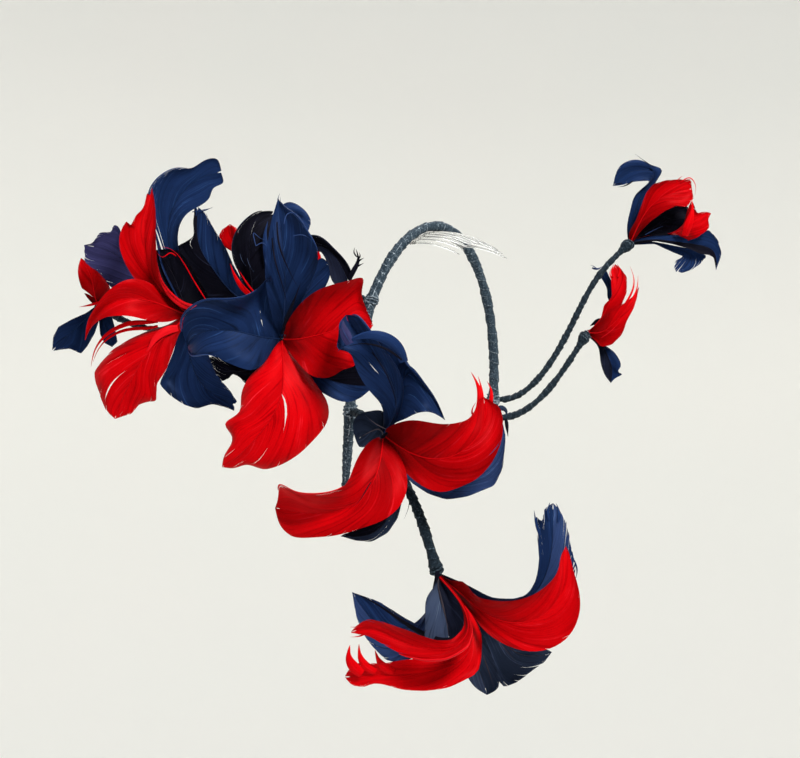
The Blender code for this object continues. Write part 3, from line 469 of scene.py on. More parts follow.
        ((639, 224, 5), (652, 205, 9), (670, 194, 10), (691, 189, 8)),
        ((629, 232, 0), (636, 220, 1), (641, 206, 2), (646, 193, 3), (653, 184, 3), (666, 180, 3), (680, 179, 2),
         (691, 179, 1), (692, 189, 0)),
        ((640, 232, 0), (651, 221, 2), (665, 211, 4), (676, 206, 4), (688, 207, 3), (694, 198, 1), (692, 189, 0)),
        pooled=1.8,
        blades=(
            ("red", 0.4, ((681, 182, 11), (690, 178, 11), (695, 184, 10), (695, 195, 9))),
            ("red", 0.3, ((676, 182, 11), (681, 177, 11), (683, 176, 10))),
        )),
    Drawn("wing_navy_inner", SMOOTH, (-0.12, -0.12),
        ((642, 234, -3), (656, 226, -4), (672, 220, -5), (688, 219, -5)),
        ((640, 230, 0), (652, 219, 0), (665, 209, 0), (677, 205, 0), (688, 207, 0), (688, 219, 0)),
        ((643, 240, 0), (656, 238, 1), (671, 237, 1), (684, 235, 1), (688, 219, 0)),
        shades=("ink", "ink"), blades=(("navy_back", 0.16, ((645, 235, 1), (654, 230, 1), (663, 226, 1))),)),
    Drawn("wing_red_right", RAGGED, (-0.14, -0.1),
        ((646, 237, -8), (664, 234, -8), (678, 232, 5), (694, 225, 8), (710, 215, 8)),
        ((646, 236, 0), (666, 232, 0), (680, 229, 0), (685, 221, 1), (688, 208, 2), (692, 200, 2), (695, 207, 2),
         (697, 213, 1), (704, 211, 1), (711, 213, 0)),
        ((646, 239, 0), (662, 238, 0), (675, 238, 1), (684, 242, 3), (697, 238, 2), (709, 229, 2), (710, 225, 1),
         (708, 220, 0), (711, 213, 0)),
        blades=(("red", 3.0, ((685, 236, 8), (688, 226, 11), (692, 213, 12), (692, 200, 11))),)),
    Drawn("wing_navy_low", RAGGED, (-0.08, -0.1),
        ((655, 240, 0), (676, 242, 1), (698, 245, 1), (713, 251, 0), (717, 266, -1)),
        ((652, 236, 0), (674, 235, 1), (694, 236, 2), (709, 229, 3), (718, 240, 2), (722, 252, 1), (721, 258, 0),
         (719, 262, 0), (716, 270, 0)),
        ((655, 241, 0), (672, 244, 1), (690, 249, 1), (700, 254, 1), (709, 255, 1), (714, 258, 0), (716, 270, 0)),
        shades=("navy", "ink")),
    Drawn("wing_navy_under", WILD, (-0.05, -0.05),
        ((655, 243, -3), (674, 249, -4), (690, 255, -4), (691, 264, -3), (682, 272, -2)),
        ((655, 242, 0), (676, 246, 0), (694, 249, 1), (707, 256, 1), (702, 263, 1), (692, 270, 0), (682, 273, 0)),
        ((655, 244, 0), (672, 252, 0), (684, 257, 0), (676, 260, 0), (673, 266, 0), (673, 271, 0), (682, 273, 0)),
        slits=((0, 0.62, 0.35, 2.0, 0.03), (1, 0.66, 0.35, 2.0, 0.03))),
    Drawn("under_red_up", RAGGED, (-0.1, -0.12),
        ((599, 321, 3), (609, 304, 6), (616, 285, 5), (616, 267, 3)),
        ((595, 330, 0), (601, 318, 0), (604, 305, 1), (612, 297, 1), (611, 282, 1), (611, 272, 0), (615, 264, 0)),
        ((606, 325, 0), (620, 309, 1), (627, 292, 1), (627, 277, 1), (621, 268, 0), (615, 264, 0)),
        blades=(
            ("red", 0.9, ((613, 277, 5), (612, 270, 4), (614, 264, 4))),
            ("red", 0.9, ((618, 277, 5), (620, 270, 4), (617, 264, 4))),
            ("red", 0.5, ((612, 280, 5), (610, 273, 4), (611, 268, 4))),
            ("red_back", 0.25, ((601, 338, 8), (612, 330, 12), (622, 319, 13))),
        )),
    Drawn("under_red_right", RAGGED, (-0.1, -0.12),
        ((602, 332, 6), (616, 321, 10), (625, 311, 10), (632, 302, 9), (637, 292, 6)),
        ((600, 322, 0), (610, 312, 1), (618, 306, 1), (626, 302, 1), (633, 296, 0), (639, 287, 0)),
        ((597, 342, 0), (601, 347, 1), (612, 345, 2), (622, 335, 2), (627, 321, 2), (634, 308, 1), (637, 298, 0),
         (639, 287, 0)),
        blades=(
            ("red", 0.8, ((624, 312, 10), (632, 300, 9), (637, 288, 7), (638, 275, 5))),
            ("red", 0.75, ((622, 308, 10), (630, 296, 9), (634, 281, 7), (630, 266, 5))),
            ("ink", 2.6, ((604, 322, -4), (598, 322, -5), (590, 326, -5))),
        )),
    Drawn("under_navy_low", SMOOTH, (0.1, -0.08),
        ((602, 345, 1), (608, 357, 3), (612, 369, 3), (611, 382, 3)),
        ((606, 346, 0), (613, 351, 1), (619, 359, 1), (620, 368, 1), (618, 372, 1), (622, 374, 0), (616, 378, 0),
         (611, 383, 0)),
        ((598, 347, 0), (600, 358, 1), (602, 368, 1), (606, 377, 0), (611, 383, 0)),
        # The right vane is near-black as painted shade.
        shades=("navy", "ink_back")),
    Drawn("knot_navy_leaf", SMOOTH, (0.05, 0.05),
        ((602, 275, -3), (608, 287, -5), (611, 301, -5)),
        ((604, 268, 0), (609, 276, 0), (614, 287, 0), (614, 296, 0), (610, 302, 0)),
        ((597, 272, 0), (603, 281, 0), (607, 290, 0), (608, 299, 0), (610, 302, 0)),
        blades=(
            ("navy", 0.7, ((592, 268, 1), (597, 269, 3), (603, 266, 1))),
            ("navy", 0.3, ((597, 269, 3), (593, 266, 3), (590, 265, 2))),
        )),
)

LEFT, RIGHT = 0, 1
# Samples for each point of a smooth curve, before it is divided evenly
SPLINE_FINENESS = 40
TINY = 1e-20


def seen(across, toward, up):
    """The offset, in the wearer's axes, of what is seen that far across, toward and up."""
    return across * ACROSS + toward * TOWARD + up * UP


def unit(vector):
    return vector / np.linalg.norm(vector)


def units(vectors):
    """Each row at length 1."""
    return vectors / np.maximum(np.linalg.norm(vectors, axis=1), TINY)[:, None]


def length_of(line):
    return np.linalg.norm(np.diff(line, axis=0), axis=1).sum()


def walked_along(line):
    """How far along a line each of its points lies."""
    return np.concatenate(([0.0], np.cumsum(np.linalg.norm(np.diff(line, axis=0), axis=1))))


def spaced(line, count):
    """count points, evenly spaced along the straight lines through a line's points."""
    walked = walked_along(line)
    even = np.linspace(0, walked[-1], count)
    return np.stack([np.interp(even, walked, line[:, k]) for k in range(3)], axis=1)


def smooth_step(share):
    """share*share*(3-2*share), which leaves 0 and reaches 1 gently."""
    return share * share * (3 - 2 * share)


def smooth_curve(points, count):
    """count points, evenly spaced along the natural cubic spline through points."""
    points = np.array(points, float)
    knots = walked_along(points)
    steps = np.diff(knots)
    size = len(points)
    matrix = np.eye(size)
    right = np.zeros((size, 3))
    for i in range(1, size - 1):
        matrix[i, i - 1 : i + 2] = steps[i - 1], 2 * (steps[i - 1] + steps[i]), steps[i]
        right[i] = 6 * ((points[i + 1] - points[i]) / steps[i] - (points[i] - points[i - 1]) / steps[i - 1])
    bend = np.linalg.solve(matrix, right)
    fine = np.linspace(0, knots[-1], SPLINE_FINENESS * size)
    span = np.clip(np.searchsorted(knots, fine, side="right") - 1, 0, size - 2)
    width = steps[span][:, None]
    before = (fine - knots[span])[:, None]
    after = width - before
    curve = (
        bend[span] * after**3 / (6 * width)
        + bend[span + 1] * before**3 / (6 * width)
        + (points[span] / width - bend[span] * width / 6) * after
        + (points[span + 1] / width - bend[span + 1] * width / 6) * before
    )
    return spaced(curve, count)


# How far a jagged edge's corners are softened, in samples
EDGE_SOFTNESS = 5


def bent_line(points, count):
    """count points, evenly spaced along straight lines through points, their corners softened by a moving mean."""
    line = spaced(np.array(points, float), count)
    wide = np.concatenate(
        [np.repeat(line[:1], EDGE_SOFTNESS, axis=0), line, np.repeat(line[-1:], EDGE_SOFTNESS, axis=0)]
    )
    window = np.hanning(2 * EDGE_SOFTNESS + 3)[1:-1]
    soft = np.stack([np.convolve(wide[:, k], window / window.sum(), mode="valid") for k in range(3)], axis=1)
    soft[0], soft[-1] = line[0], line[-1]
    return soft


def at(curve, shares):
    """The points of an evenly spaced curve at these shares of its length, between its samples along straight lines."""
    place = np.clip(shares, 0, 1) * (len(curve) - 1)
    low = np.minimum(place.astype(int), len(curve) - 2)
    part = (place - low)[..., None]
    return curve[low] * (1 - part) + curve[low + 1] * part


def carried(side, along):
    """A side direction taken along a curve without turning about it: at each point it loses what lies along it."""
    sides = [side]
    for ahead in along[1:]:
        sides.append(unit(sides[-1] - ahead * (sides[-1] @ ahead)))
    return np.array(sides)


def in_photo(x, y, toward):
    """The point that the photograph shows at pixel x, y, this far toward the viewer: pixels grow smaller with
    nearness."""
    scale = METRES_PER_PIXEL * (CAMERA_DISTANCE - toward) / CAMERA_DISTANCE
    across = (x - PHOTO_WIDTH / 2) * scale + CAMERA_ACROSS
    up = (PHOTO_HEIGHT / 2 - y) * scale + CAMERA_UP
    return np.multiply.outer(across, ACROSS) + np.multiply.outer(toward, TOWARD) + np.multiply.outer(up, UP)


def smooth_noise(rng, places, pitch):
    """Seeded noise, from -1 to 1: random heights a pitch apart, joined by smooth steps."""
    steps = places / pitch
    heights = rng.uniform(-1, 1, int(np.ceil(steps.max())) + 3)
    low = np.floor(steps).astype(int)
    part = smooth_step(steps - low)
    return heights[low] * (1 - part) + heights[low + 1] * part


def band_at(side, drop):
    """The band's middle line, this far below its crown: an ellipse down to BAND_RISE, and then a straight leg."""
    level = min(drop / BAND_RISE, 1.0)
    height = BAND_RADIUS - drop
    out = side * BAND_HALF_WIDTH * (1 - (1 - level) ** 2) ** 0.5
    return np.array((out, -height * sin(LEAN_BACK), height * cos(LEAN_BACK)))


def stem_of(flower, stems):
    """The middle line of a flower's stem, from just off what carries it to the flower's heart."""
    if flower.on == "band":
        drop = flower.hold * BAND_DROP
        hold = band_at(flower.side, drop)
        along = unit(band_at(flower.side, drop + BAND_RADIUS) - band_at(flower.side, drop - BAND_RADIUS))
        carrier_radius = BAND_RADIUS
    else:
        carrier, girth = stems[flower.on]
        place = int(round(flower.hold * (len(carrier) - 1)))
        hold = carrier[place]
        along = unit(carrier[place + 1] - carrier[place - 1])
        carrier_radius = STEM_RADIUS * girth
    bends = [hold + STEM_REACH * seen(*bend) for bend in flower.bends]
    heart = hold + STEM_REACH * seen(*flower.heart)
    first = (bends + [heart])[0] - hold
    outward = unit(first - along * (first @ along))
    start = hold + outward * (carrier_radius + GAP)
    return smooth_curve([start, start + outward * STEM_SQUARE_OUT, *bends, heart], 4 * STEM_STEPS + 1)


def to_linear(colour):
    """An sRGB hex colour as linear red, green, blue and alpha."""
    parts = np.array([int(colour[i : i + 2], 16) for i in (1, 3, 5)]) / 255
    linear = np.where(parts <= 0.04045, parts / 12.92, ((parts + 0.055) / 1.055) ** 2.4)
    return (*linear.tolist(), 1.0)


def feed(tree, fed, feeds):
    """Feeds a node's inputs with values or with other nodes' outputs."""
    for socket, value in feeds.items():
        if isinstance(value, bpy.types.NodeSocket):
            tree.links.new(value, fed.inputs[socket])
        else:
            fed.inputs[socket].default_value = value


def node(tree, kind, feeds, output=0, **settings):
    """Adds one node with its settings and feeds, and returns the output that is asked for."""
    made = tree.nodes.new(kind)
    for name, value in settings.items():
        setattr(made, name, value)
    feed(tree, made, feeds)
    return made.outputs[output]


def new_material(name):
    made = bpy.data.materials.new(name)
    made.use_nodes = True
    return made, made.node_tree, made.node_tree.nodes["Principled BSDF"]


def ramp(tree, factor, stops):
    """A colour ramp through (place, sRGB hex) stops."""
    colour = node(tree, "ShaderNodeValToRGB", {"Fac": factor}, "Color")
    elements = colour.node.color_ramp.elements
    while len(elements) < len(stops):
        elements.new(0.5)
    for element, (place, shade) in zip(elements, stops):
        element.position = place
        element.color = to_linear(shade)
    return colour


# A goose feather's barbs lie 0.4 mm apart. That is finer than a pixel of the picture, so the streaks are 1.1 mm wide.
BARB_STREAK = 0.0011
STREAK_LENGTH = 0.024
BARB_HEIGHT = 0.00012
DYE_PATCH = 0.016
# What is left of the colour where the painted shade near the root and the dye are deepest
DEEPEST_SHADE_AND_DYE = 0.16


def dyed_feather(name, deep, body, light, roughness, sheen):
    """Acid-dyed goose feather, stripped and curled: satin along the barbs, dye a little uneven, fine light streaks."""
    made, tree, shader = new_material(name)
    uv = node(tree, "ShaderNodeUVMap", {}, "UV", uv_map="barbs")
    stretch = (1 / BARB_STREAK, 1 / STREAK_LENGTH, 1.0)
    along = node(tree, "ShaderNodeMapping", {"Vector": uv, "Scale": stretch}, "Vector")
    grain = {"Vector": along, "Scale": 1.0, "Detail": 3.0, "Roughness": 0.6}
    streak = node(tree, "ShaderNodeTexNoise", grain, "Fac", noise_dimensions="2D")
    place = node(tree, "ShaderNodeTexCoord", {}, "Object")
    cloud = {"Vector": place, "Scale": 1 / DYE_PATCH, "Detail": 2.0, "Roughness": 0.5}
    patch = node(tree, "ShaderNodeTexNoise", cloud, "Fac")
    faint = node(tree, "ShaderNodeMath", {0: patch, 1: 0.45}, operation="MULTIPLY")
    mixed = node(tree, "ShaderNodeMath", {0: streak, 1: faint}, operation="ADD")
    level = node(tree, "ShaderNodeMath", {0: mixed, 1: 0.69}, operation="MULTIPLY")
    dye = ramp(tree, level, ((0.32, deep), (0.48, body), (0.61, body), (0.76, light)))
    # Painted shade near the root, with the dye's tone from lock to lock, darkens the colour
    depth = node(tree, "ShaderNodeAttribute", {}, "Fac", attribute_name="dye_depth")
    keep = node(tree, "ShaderNodeMapRange", {"Value": depth, "To Min": 1.0, "To Max": DEEPEST_SHADE_AND_DYE}, "Result")
    worn = {
        "Value": streak, "From Min": 0.3, "From Max": 0.7, "To Min": roughness - 0.08, "To Max": roughness + 0.08,
    }
    barbs = {"Height": streak, "Strength": 0.45, "Distance": BARB_HEIGHT}
    feed(tree, shader, {
        "Base Color": node(tree, "ShaderNodeVectorMath", {0: dye, "Scale": keep}, "Vector", operation="SCALE"),
        "Roughness": node(tree, "ShaderNodeMapRange", worn, "Result"),
        "Normal": node(tree, "ShaderNodeBump", barbs, "Normal"),
        "Specular IOR Level": 0.24,
        "Specular Tint": to_linear(light),
        "Sheen Weight": sheen,
        "Sheen Roughness": 0.30,
        "Sheen Tint": to_linear(light),
    })
    return made


# A silk slub and a worn stretch of the strip, as noise scales for 1.1 mm and 7 mm
SLUB_SCALE = 900.0
WORN_SCALE = 140.0
SLUB_HEIGHT = 0.00015


def silk_strip(name, deep, body, light):
    """Bias silk strip wound by hand: a dull slate with a thin light frayed edge on each turn, and a fine slubbed
    weave."""
    made, tree, shader = new_material(name)
    edge = node(tree, "ShaderNodeAttribute", {}, "Fac", attribute_name="strip_edge")
    place = node(tree, "ShaderNodeTexCoord", {}, "Object")
    slubbed = {"Vector": place, "Scale": SLUB_SCALE, "Detail": 4.0, "Roughness": 0.7}
    slub = node(tree, "ShaderNodeTexNoise", slubbed, "Fac")
    worn = node(tree, "ShaderNodeTexNoise", {"Vector": place, "Scale": WORN_SCALE, "Detail": 3.0}, "Fac")
    frayed = {"Value": edge, "From Min": 0.88, "From Max": 1.0, "To Min": 0.0, "To Max": 0.95}
    lit = node(tree, "ShaderNodeMapRange", frayed, "Result")
    lit = node(tree, "ShaderNodeMath", {0: lit, 1: worn}, operation="MULTIPLY")
    level = node(tree, "ShaderNodeMath", {0: slub, 1: lit}, operation="ADD")
    weave = {"Height": slub, "Strength": 0.6, "Distance": SLUB_HEIGHT}
    feed(tree, shader, {
        "Base Color": ramp(tree, level, ((0.30, deep), (0.55, body), (0.95, light))),
        "Normal": node(tree, "ShaderNodeBump", weave, "Normal"),
        "Roughness": 0.62,
        "Specular IOR Level": 0.22,
        "Specular Tint": to_linear(light),
        "Sheen Weight": 0.10,
        "Sheen Roughness": 0.4,
        "Sheen Tint": to_linear(light),
    })
    return made


def clear_plastic(name):
    """Moulded clear acrylic: glass-clear with a bright edge and faint flow marks, about 4 mm apart."""
    made, tree, shader = new_material(name)
    place = node(tree, "ShaderNodeTexCoord", {}, "Object")
    flow = node(tree, "ShaderNodeTexNoise", {"Vector": place, "Scale": 260.0, "Detail": 2.0}, "Fac")
    feed(tree, shader, {
        "Normal": node(tree, "ShaderNodeBump", {"Height": flow, "Strength": 0.2, "Distance": 0.0001}, "Normal"),
        "Base Color": to_linear("#f3f4f2"),
        "Roughness": 0.06,
        "IOR": 1.49,
        "Transmission Weight": 0.92,
    })
    return made


def studio_paint(name):
    """Matt studio paint, a shade uneven, as a rolled wall is."""
    made, tree, shader = new_material(name)
    place = node(tree, "ShaderNodeTexCoord", {}, "Object")
    roll = node(tree, "ShaderNodeTexNoise", {"Vector": place, "Scale": 3.0, "Detail": 4.0}, "Fac")
    paint = ramp(tree, roll, ((0.3, "#fafaf6"), (0.7, "#f9faf6")))
    feed(tree, shader, {"Base Color": paint, "Roughness": 0.95, "Specular IOR Level": 0.1})
    return made


def grid_quads(index, closed=False):
    """The quads of a grid of point numbers. A closed grid's last column joins its first."""
    if closed:
        index = np.concatenate([index, index[:, :1]], axis=1)
    return np.stack([index[:-1, :-1], index[:-1, 1:], index[1:, 1:], index[1:, :-1]], axis=-1).reshape(-1, 4)


def closed_shell(points, uv, quads, thickness):
    """A thin closed shell over a sheet: its points, and the same points moved back along the sheet's normals, but for
    those on the rim, which both sides share. It returns the points, their UV (or any other values that each point
    carries), all quads, and which are at the back."""
    used, quads = np.unique(quads, return_inverse=True)
    quads = quads.reshape(-1, 4)
    points, uv = points[used], uv[used]
    normals = np.zeros_like(points)
    across = np.cross(points[quads[:, 2]] - points[quads[:, 0]], points[quads[:, 3]] - points[quads[:, 1]])
    for corner in range(4):
        np.add.at(normals, quads[:, corner], across)
    normals = units(normals)
    edges = np.sort(np.concatenate([quads[:, [k, (k + 1) % 4]] for k in range(4)]), axis=1)
    keys, counts = np.unique(edges[:, 0] * len(points) + edges[:, 1], return_counts=True)
    rim = np.zeros(len(points), bool)
    rim[keys[counts == 1] // len(points)] = True
    rim[keys[counts == 1] % len(points)] = True
    inner = np.flatnonzero(~rim)
    back = np.arange(len(points))
    back[inner] = len(points) + np.arange(len(inner))
    all_points = np.concatenate([points, points[inner] - normals[inner] * thickness])
    all_quads = np.concatenate([quads, back[quads[:, ::-1]]])
    behind = np.arange(len(all_quads)) >= len(quads)
    return all_points, np.concatenate([uv, uv[inner]]), all_quads, behind.astype(int)


def tube_grid(line, radii, sides):
    """A round tube: circles of these radii, one each or one for each point of the circle, around the line."""
    ahead = units(np.gradient(line, axis=0))
    right = carried(unit(np.cross(ahead[0], TOWARD + 0.3 * UP)), ahead)
    upward = np.cross(ahead, right)
    turn = 2 * pi * np.arange(sides) / sides
    ring = np.cos(turn)[None, :, None] * right[:, None] + np.sin(turn)[None, :, None] * upward[:, None]
    radius = radii[..., None] if np.ndim(radii) == 2 else np.broadcast_to(radii, len(line))[:, None, None]
    index = np.arange(len(line) * sides).reshape(len(line), sides)
    return (line[:, None] + ring * radius).reshape(-1, 3), grid_quads(index, closed=True), index


def caps(index, count):
    """Triangles that close a tube's two ends onto two added points, count and count + 1."""
    first, last = index[0], index[-1]
    start = np.stack([np.full(len(first), count), np.roll(first, -1), first], axis=-1)
    end = np.stack([np.full(len(last), count + 1), last, np.roll(last, -1)], axis=-1)
    return np.concatenate([start, end])


def linked(name, data):
    """A new object in the scene."""
    made = bpy.data.objects.new(name, data)
    bpy.context.scene.collection.objects.link(made)
    return made


def smooth_mesh(name, points, faces, materials):
    mesh = bpy.data.meshes.new(name)
    mesh.from_pydata(points, [], faces)
    mesh.polygons.foreach_set("use_smooth", np.ones(len(mesh.polygons), bool))
    for material in materials:
        mesh.materials.append(material)
    return mesh


def give_points(mesh, name, values):
    """Gives each point of a mesh one number that a material reads."""
    mesh.attributes.new(name, "FLOAT", "POINT").data.foreach_set("value", values.astype(np.float32))


# Edges that bend more than this are drawn sharp, on a feather or the comb and on a binding
SHARP_EDGE = radians(60)
SHARP_BINDING = radians(75)
TUBE_UV_STEP = 0.0002


class Heap:
    """Gathers surfaces into one mesh: points, UV, depth of painted shade and dye, faces and a material's place for
    each face.
    """

    def __init__(self):
        self.points, self.uv, self.depth, self.faces, self.finish, self.count = [], [], [], [], [], 0

    def add(self, points, uv, finish, *faces, depth=0.0):
        for group in faces:
            self.faces += (group + self.count).tolist()
            self.finish.append(np.broadcast_to(finish, len(group)))
        self.points.append(points)
        self.uv.append(uv)
        self.depth.append(np.broadcast_to(depth, len(points)))
        self.count += len(points)

    def tube(self, line, radii, sides, finish):
        """A tube whose two ends close onto the line's own ends."""
        points, quads, index = tube_grid(line, radii, sides)
        walked = walked_along(line)
        flat = np.stack(np.broadcast_arrays(np.arange(sides)[None] * TUBE_UV_STEP, walked[:, None]), axis=-1)
        flat = np.concatenate([flat.reshape(-1, 2), [[0.0, 0.0], [0.0, walked[-1]]]])
        points = np.concatenate([points, [line[0], line[-1]]])
        self.add(points, flat, finish, quads, caps(index, index.size))

    def piece(self, name, node_name, materials, sharp=SHARP_EDGE):
        """The gathered mesh as a finished piece that stands for a CAD node."""
        mesh = smooth_mesh(name, np.concatenate(self.points), self.faces, materials)
        corner = np.zeros(len(mesh.loops), np.int32)
        mesh.loops.foreach_get("vertex_index", corner)
        layer = mesh.uv_layers.new(name="barbs")
        layer.data.foreach_set("uv", np.concatenate(self.uv)[corner].astype(np.float32).ravel())
        give_points(mesh, "dye_depth", np.concatenate(self.depth))
        mesh.polygons.foreach_set("material_index", np.concatenate(self.finish).astype(np.int32))
        mesh.set_sharp_from_angle(angle=sharp)
        made = linked(name, mesh)
        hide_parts(node_name)
        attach(made, "root")
        return made


# How finely a feather is made: rows of barbs on each side, points along a barb and along the rib
BARB_ROWS = 84
BARB_STEPS = 12
RIB_SAMPLES = 160
VANE_THICKNESS = 0.00016
# Painted shade darkens each vane near the quill, as the shade in its cup, and the dye is a little different from lock
# to lock
ROOT_SHADE = 0.018
ROOT_SHADE_DEPTH = 0.92
LOCK_DEPTH = 0.30
# Locks differ in width, and fray least near the root: CALM of the fray is left there, up to CALM_REACH of the way,
# and it grows to the whole over CALM_FADE more. Splits and gaps reach these least shares of what their look gives.
LOCK_WIDTHS = (0.4, 1.6)
CALM, CALM_REACH, CALM_FADE = 0.15, 0.15, 0.35
LEAST_SPLIT, LEAST_GAP = 0.10, 0.2
# A split that ends past the barb's own end stays open. LAST_BARB is the rib's share where the last barb leaves.
OPEN_END = 2.0
LAST_BARB, LAST_SHARE = 0.975, 0.996
LOCK_SHORTER, BARB_SHORTER = 0.16, 0.05
TEAR_GROWTH, SLIT_ROUNDNESS = 1.4, 0.8
SWEEP_ONSET = 1.3
# The barbs' lie in the UV map, as a share of the rib's length, and how far apart the two vanes are kept in it
BARB_LAY, VANE_APART = 0.6, 0.1


def vane(heap, rib, edge, facing, drawn, side, rng, finish):
    """One side of a feather. A barb leaves the rib at share q and ends on the edge at 1-(1-q)**(1+sweep), so that all
    sweep to the tip: the point is rib + (edge-rib)*t + facing*bulge*6.75*t*t*(1-t), both taken at
    1-(1-q)**(1+sweep*t**SWEEP_ONSET). The barbs hold together in locks. Past a lock's split its sides draw in by a
    gap, and its end lifts and frays."""
    look = drawn.look
    count = look.locks
    shares = rng.uniform(*LOCK_WIDTHS, count)
    bounds = np.concatenate(([0.0], np.cumsum(shares) / shares.sum()))
    near_tip = CALM + (1 - CALM) * np.clip((bounds - CALM_REACH) / CALM_FADE, 0, 1)
    splits = 1 - look.fray * near_tip * rng.uniform(LEAST_SPLIT, 1.0, count + 1) ** 2
    gaps = look.gap * near_tip * rng.uniform(LEAST_GAP, 1.0, count + 1) ** 2
    ends = np.full(count + 1, OPEN_END)
    for place, start, end, wide in [slit[1:] for slit in drawn.slits if slit[0] == side]:
        nearest = int(np.argmin(np.abs(bounds[1:-1] - place))) + 1
        bounds[nearest], splits[nearest], ends[nearest], gaps[nearest] = place, start, end, wide
    rows_each = np.maximum(2, np.round(shares / shares.sum() * BARB_ROWS)).astype(int)
    place = np.concatenate([np.linspace(0, 1, n + 1) for n in rows_each])
    lock = np.repeat(np.arange(count), rows_each + 1)
    q = LAST_BARB * (bounds[lock] * (1 - place) + bounds[lock + 1] * place)
    t = np.linspace(0, 1, BARB_STEPS + 1)

    def opened(bound):
        start, end = splits[bound][:, None], ends[bound][:, None]
        torn = np.clip((t[None] - start) / (1.0001 - start), 0, 1) ** TEAR_GROWTH
        between = np.sin(pi * np.clip((t[None] - start) / (end - start), 0, 1)) ** SLIT_ROUNDNESS
        return np.where(end < 1, between, torn)

    low, high = opened(lock), opened(lock + 1)
    x = place[:, None]
    free = low * (1 - x) + high * x
    offset = 2 * x - 1
    pulled = -np.where(offset > 0, offset * high * gaps[lock + 1][:, None], offset * low * gaps[lock][:, None])
    length = 1 - look.fray * free[:, -1] * near_tip[lock] * (
        LOCK_SHORTER * rng.uniform(0, 1, count)[lock] + BARB_SHORTER * rng.uniform(0, 1, len(place))
    )
    along_barb = t[None] * length[:, None]
    q = np.clip(q[:, None] + pulled, 0, LAST_SHARE)
    share = 1 - (1 - q) ** (1 + look.sweep * along_barb**SWEEP_ONSET)
    base, out, face = at(rib, share), at(edge, share), at(facing, share)
    reach = np.linalg.norm(out - base, axis=-1, keepdims=True)
    bow = 6.75 * along_barb**2 * (1 - along_barb)
    relief = look.ridge * (1 - offset**2) * np.sqrt(along_barb)
    lift = look.lift * rng.uniform(-1, 1, count)[lock][:, None] * free
    points = base + (out - base) * along_barb[..., None] + face * (
        reach * (drawn.bulge[side] * bow + lift)[..., None] + relief[..., None]
    )
    index = np.arange(len(place) * (BARB_STEPS + 1)).reshape(len(place), -1)
    first = np.concatenate(([0], np.cumsum(rows_each + 1)))[:-1]
    for k in range(1, count):
        joined = (t <= splits[k]) | (t >= ends[k])
        index[first[k], joined] = index[first[k] - 1, joined]
    kept = np.flatnonzero(np.diff(lock) == 0)
    corners = [index[kept, :-1], index[kept, 1:], index[kept + 1, 1:], index[kept + 1, :-1]]
    if side == LEFT:
        corners.reverse()
    quads = np.stack(corners, axis=-1).reshape(-1, 4)
    rib_length = length_of(rib)
    # Painted shade near the root, fading along the rib
    pooled = np.exp(-share * rib_length / (ROOT_SHADE * drawn.pooled)) * ROOT_SHADE_DEPTH
    depth = pooled + rng.uniform(0, LOCK_DEPTH, count)[lock][:, None]
    lie = along_barb * reach[..., 0] + (3 + side) * VANE_APART
    values = np.stack([q * rib_length * BARB_LAY, lie, depth], axis=-1).reshape(-1, 3)
    points, values, quads, behind = closed_shell(points.reshape(-1, 3), values, quads, VANE_THICKNESS)
    heap.add(points, values[:, :2], finish + behind, quads, depth=values[:, 2])


# Where the rib starts in its collar, outward and ahead, and how wide the vanes are there
RIB_OUT, RIB_AHEAD = 0.0012, 0.0006
BASE_HALF_WIDTH = 0.0016


def drawn_lines(drawn, centre, ahead):
    """The rib, its left and right edge and its facing. The rib starts at the collar and runs through its points; an
    edge's depth is the rib's depth at the same share of its way, and its own lift."""
    x, y, near = np.array(drawn.rib, float).T
    way = in_photo(x, y, centre @ TOWARD + near * MILLIMETRE)
    leaves = unit(way[0] - centre)
    if leaves @ ahead < -QUILL_LEAN:
        leaves = unit(unit(leaves - ahead * (leaves @ ahead)) - ahead * QUILL_LEAN)
    rib = smooth_curve([centre + leaves * RIB_OUT + ahead * RIB_AHEAD, *way], RIB_SAMPLES)
    along = units(np.gradient(rib, axis=0))
    facing = np.cross(carried(unit(np.cross(along[0], TOWARD)), along), along)
    edges = []
    leftward = np.cross(TOWARD, leaves) * BASE_HALF_WIDTH
    trace = smooth_curve if drawn.look == SMOOTH else bent_line
    for points, base in ((drawn.left, leftward), (drawn.right, -leftward)):
        x, y, lift = np.array(points, float).T
        steps = np.hypot(np.diff(x), np.diff(y))
        share = np.cumsum([np.hypot(x[0] - drawn.rib[0][0], y[0] - drawn.rib[0][1]), *steps])
        level = at(rib @ TOWARD[:, None], share / share[-1])[:, 0]
        edges.append(trace([rib[0] + base, *in_photo(x, y, level + lift * MILLIMETRE)], RIB_SAMPLES))
    return rib, edges, facing


FOLD_ROWS, FOLD_COLUMNS = 40, 10
FOLD_START, FOLD_TURN = -0.5, radians(200)
# A fold is pressed a little flat, starts within the edge and stays full nearly to its ends
FOLD_FLATNESS, FOLD_INSET, FOLD_FULLNESS = 0.75, 0.4, 0.6
FOLD_UV = (0.003, 0.06)


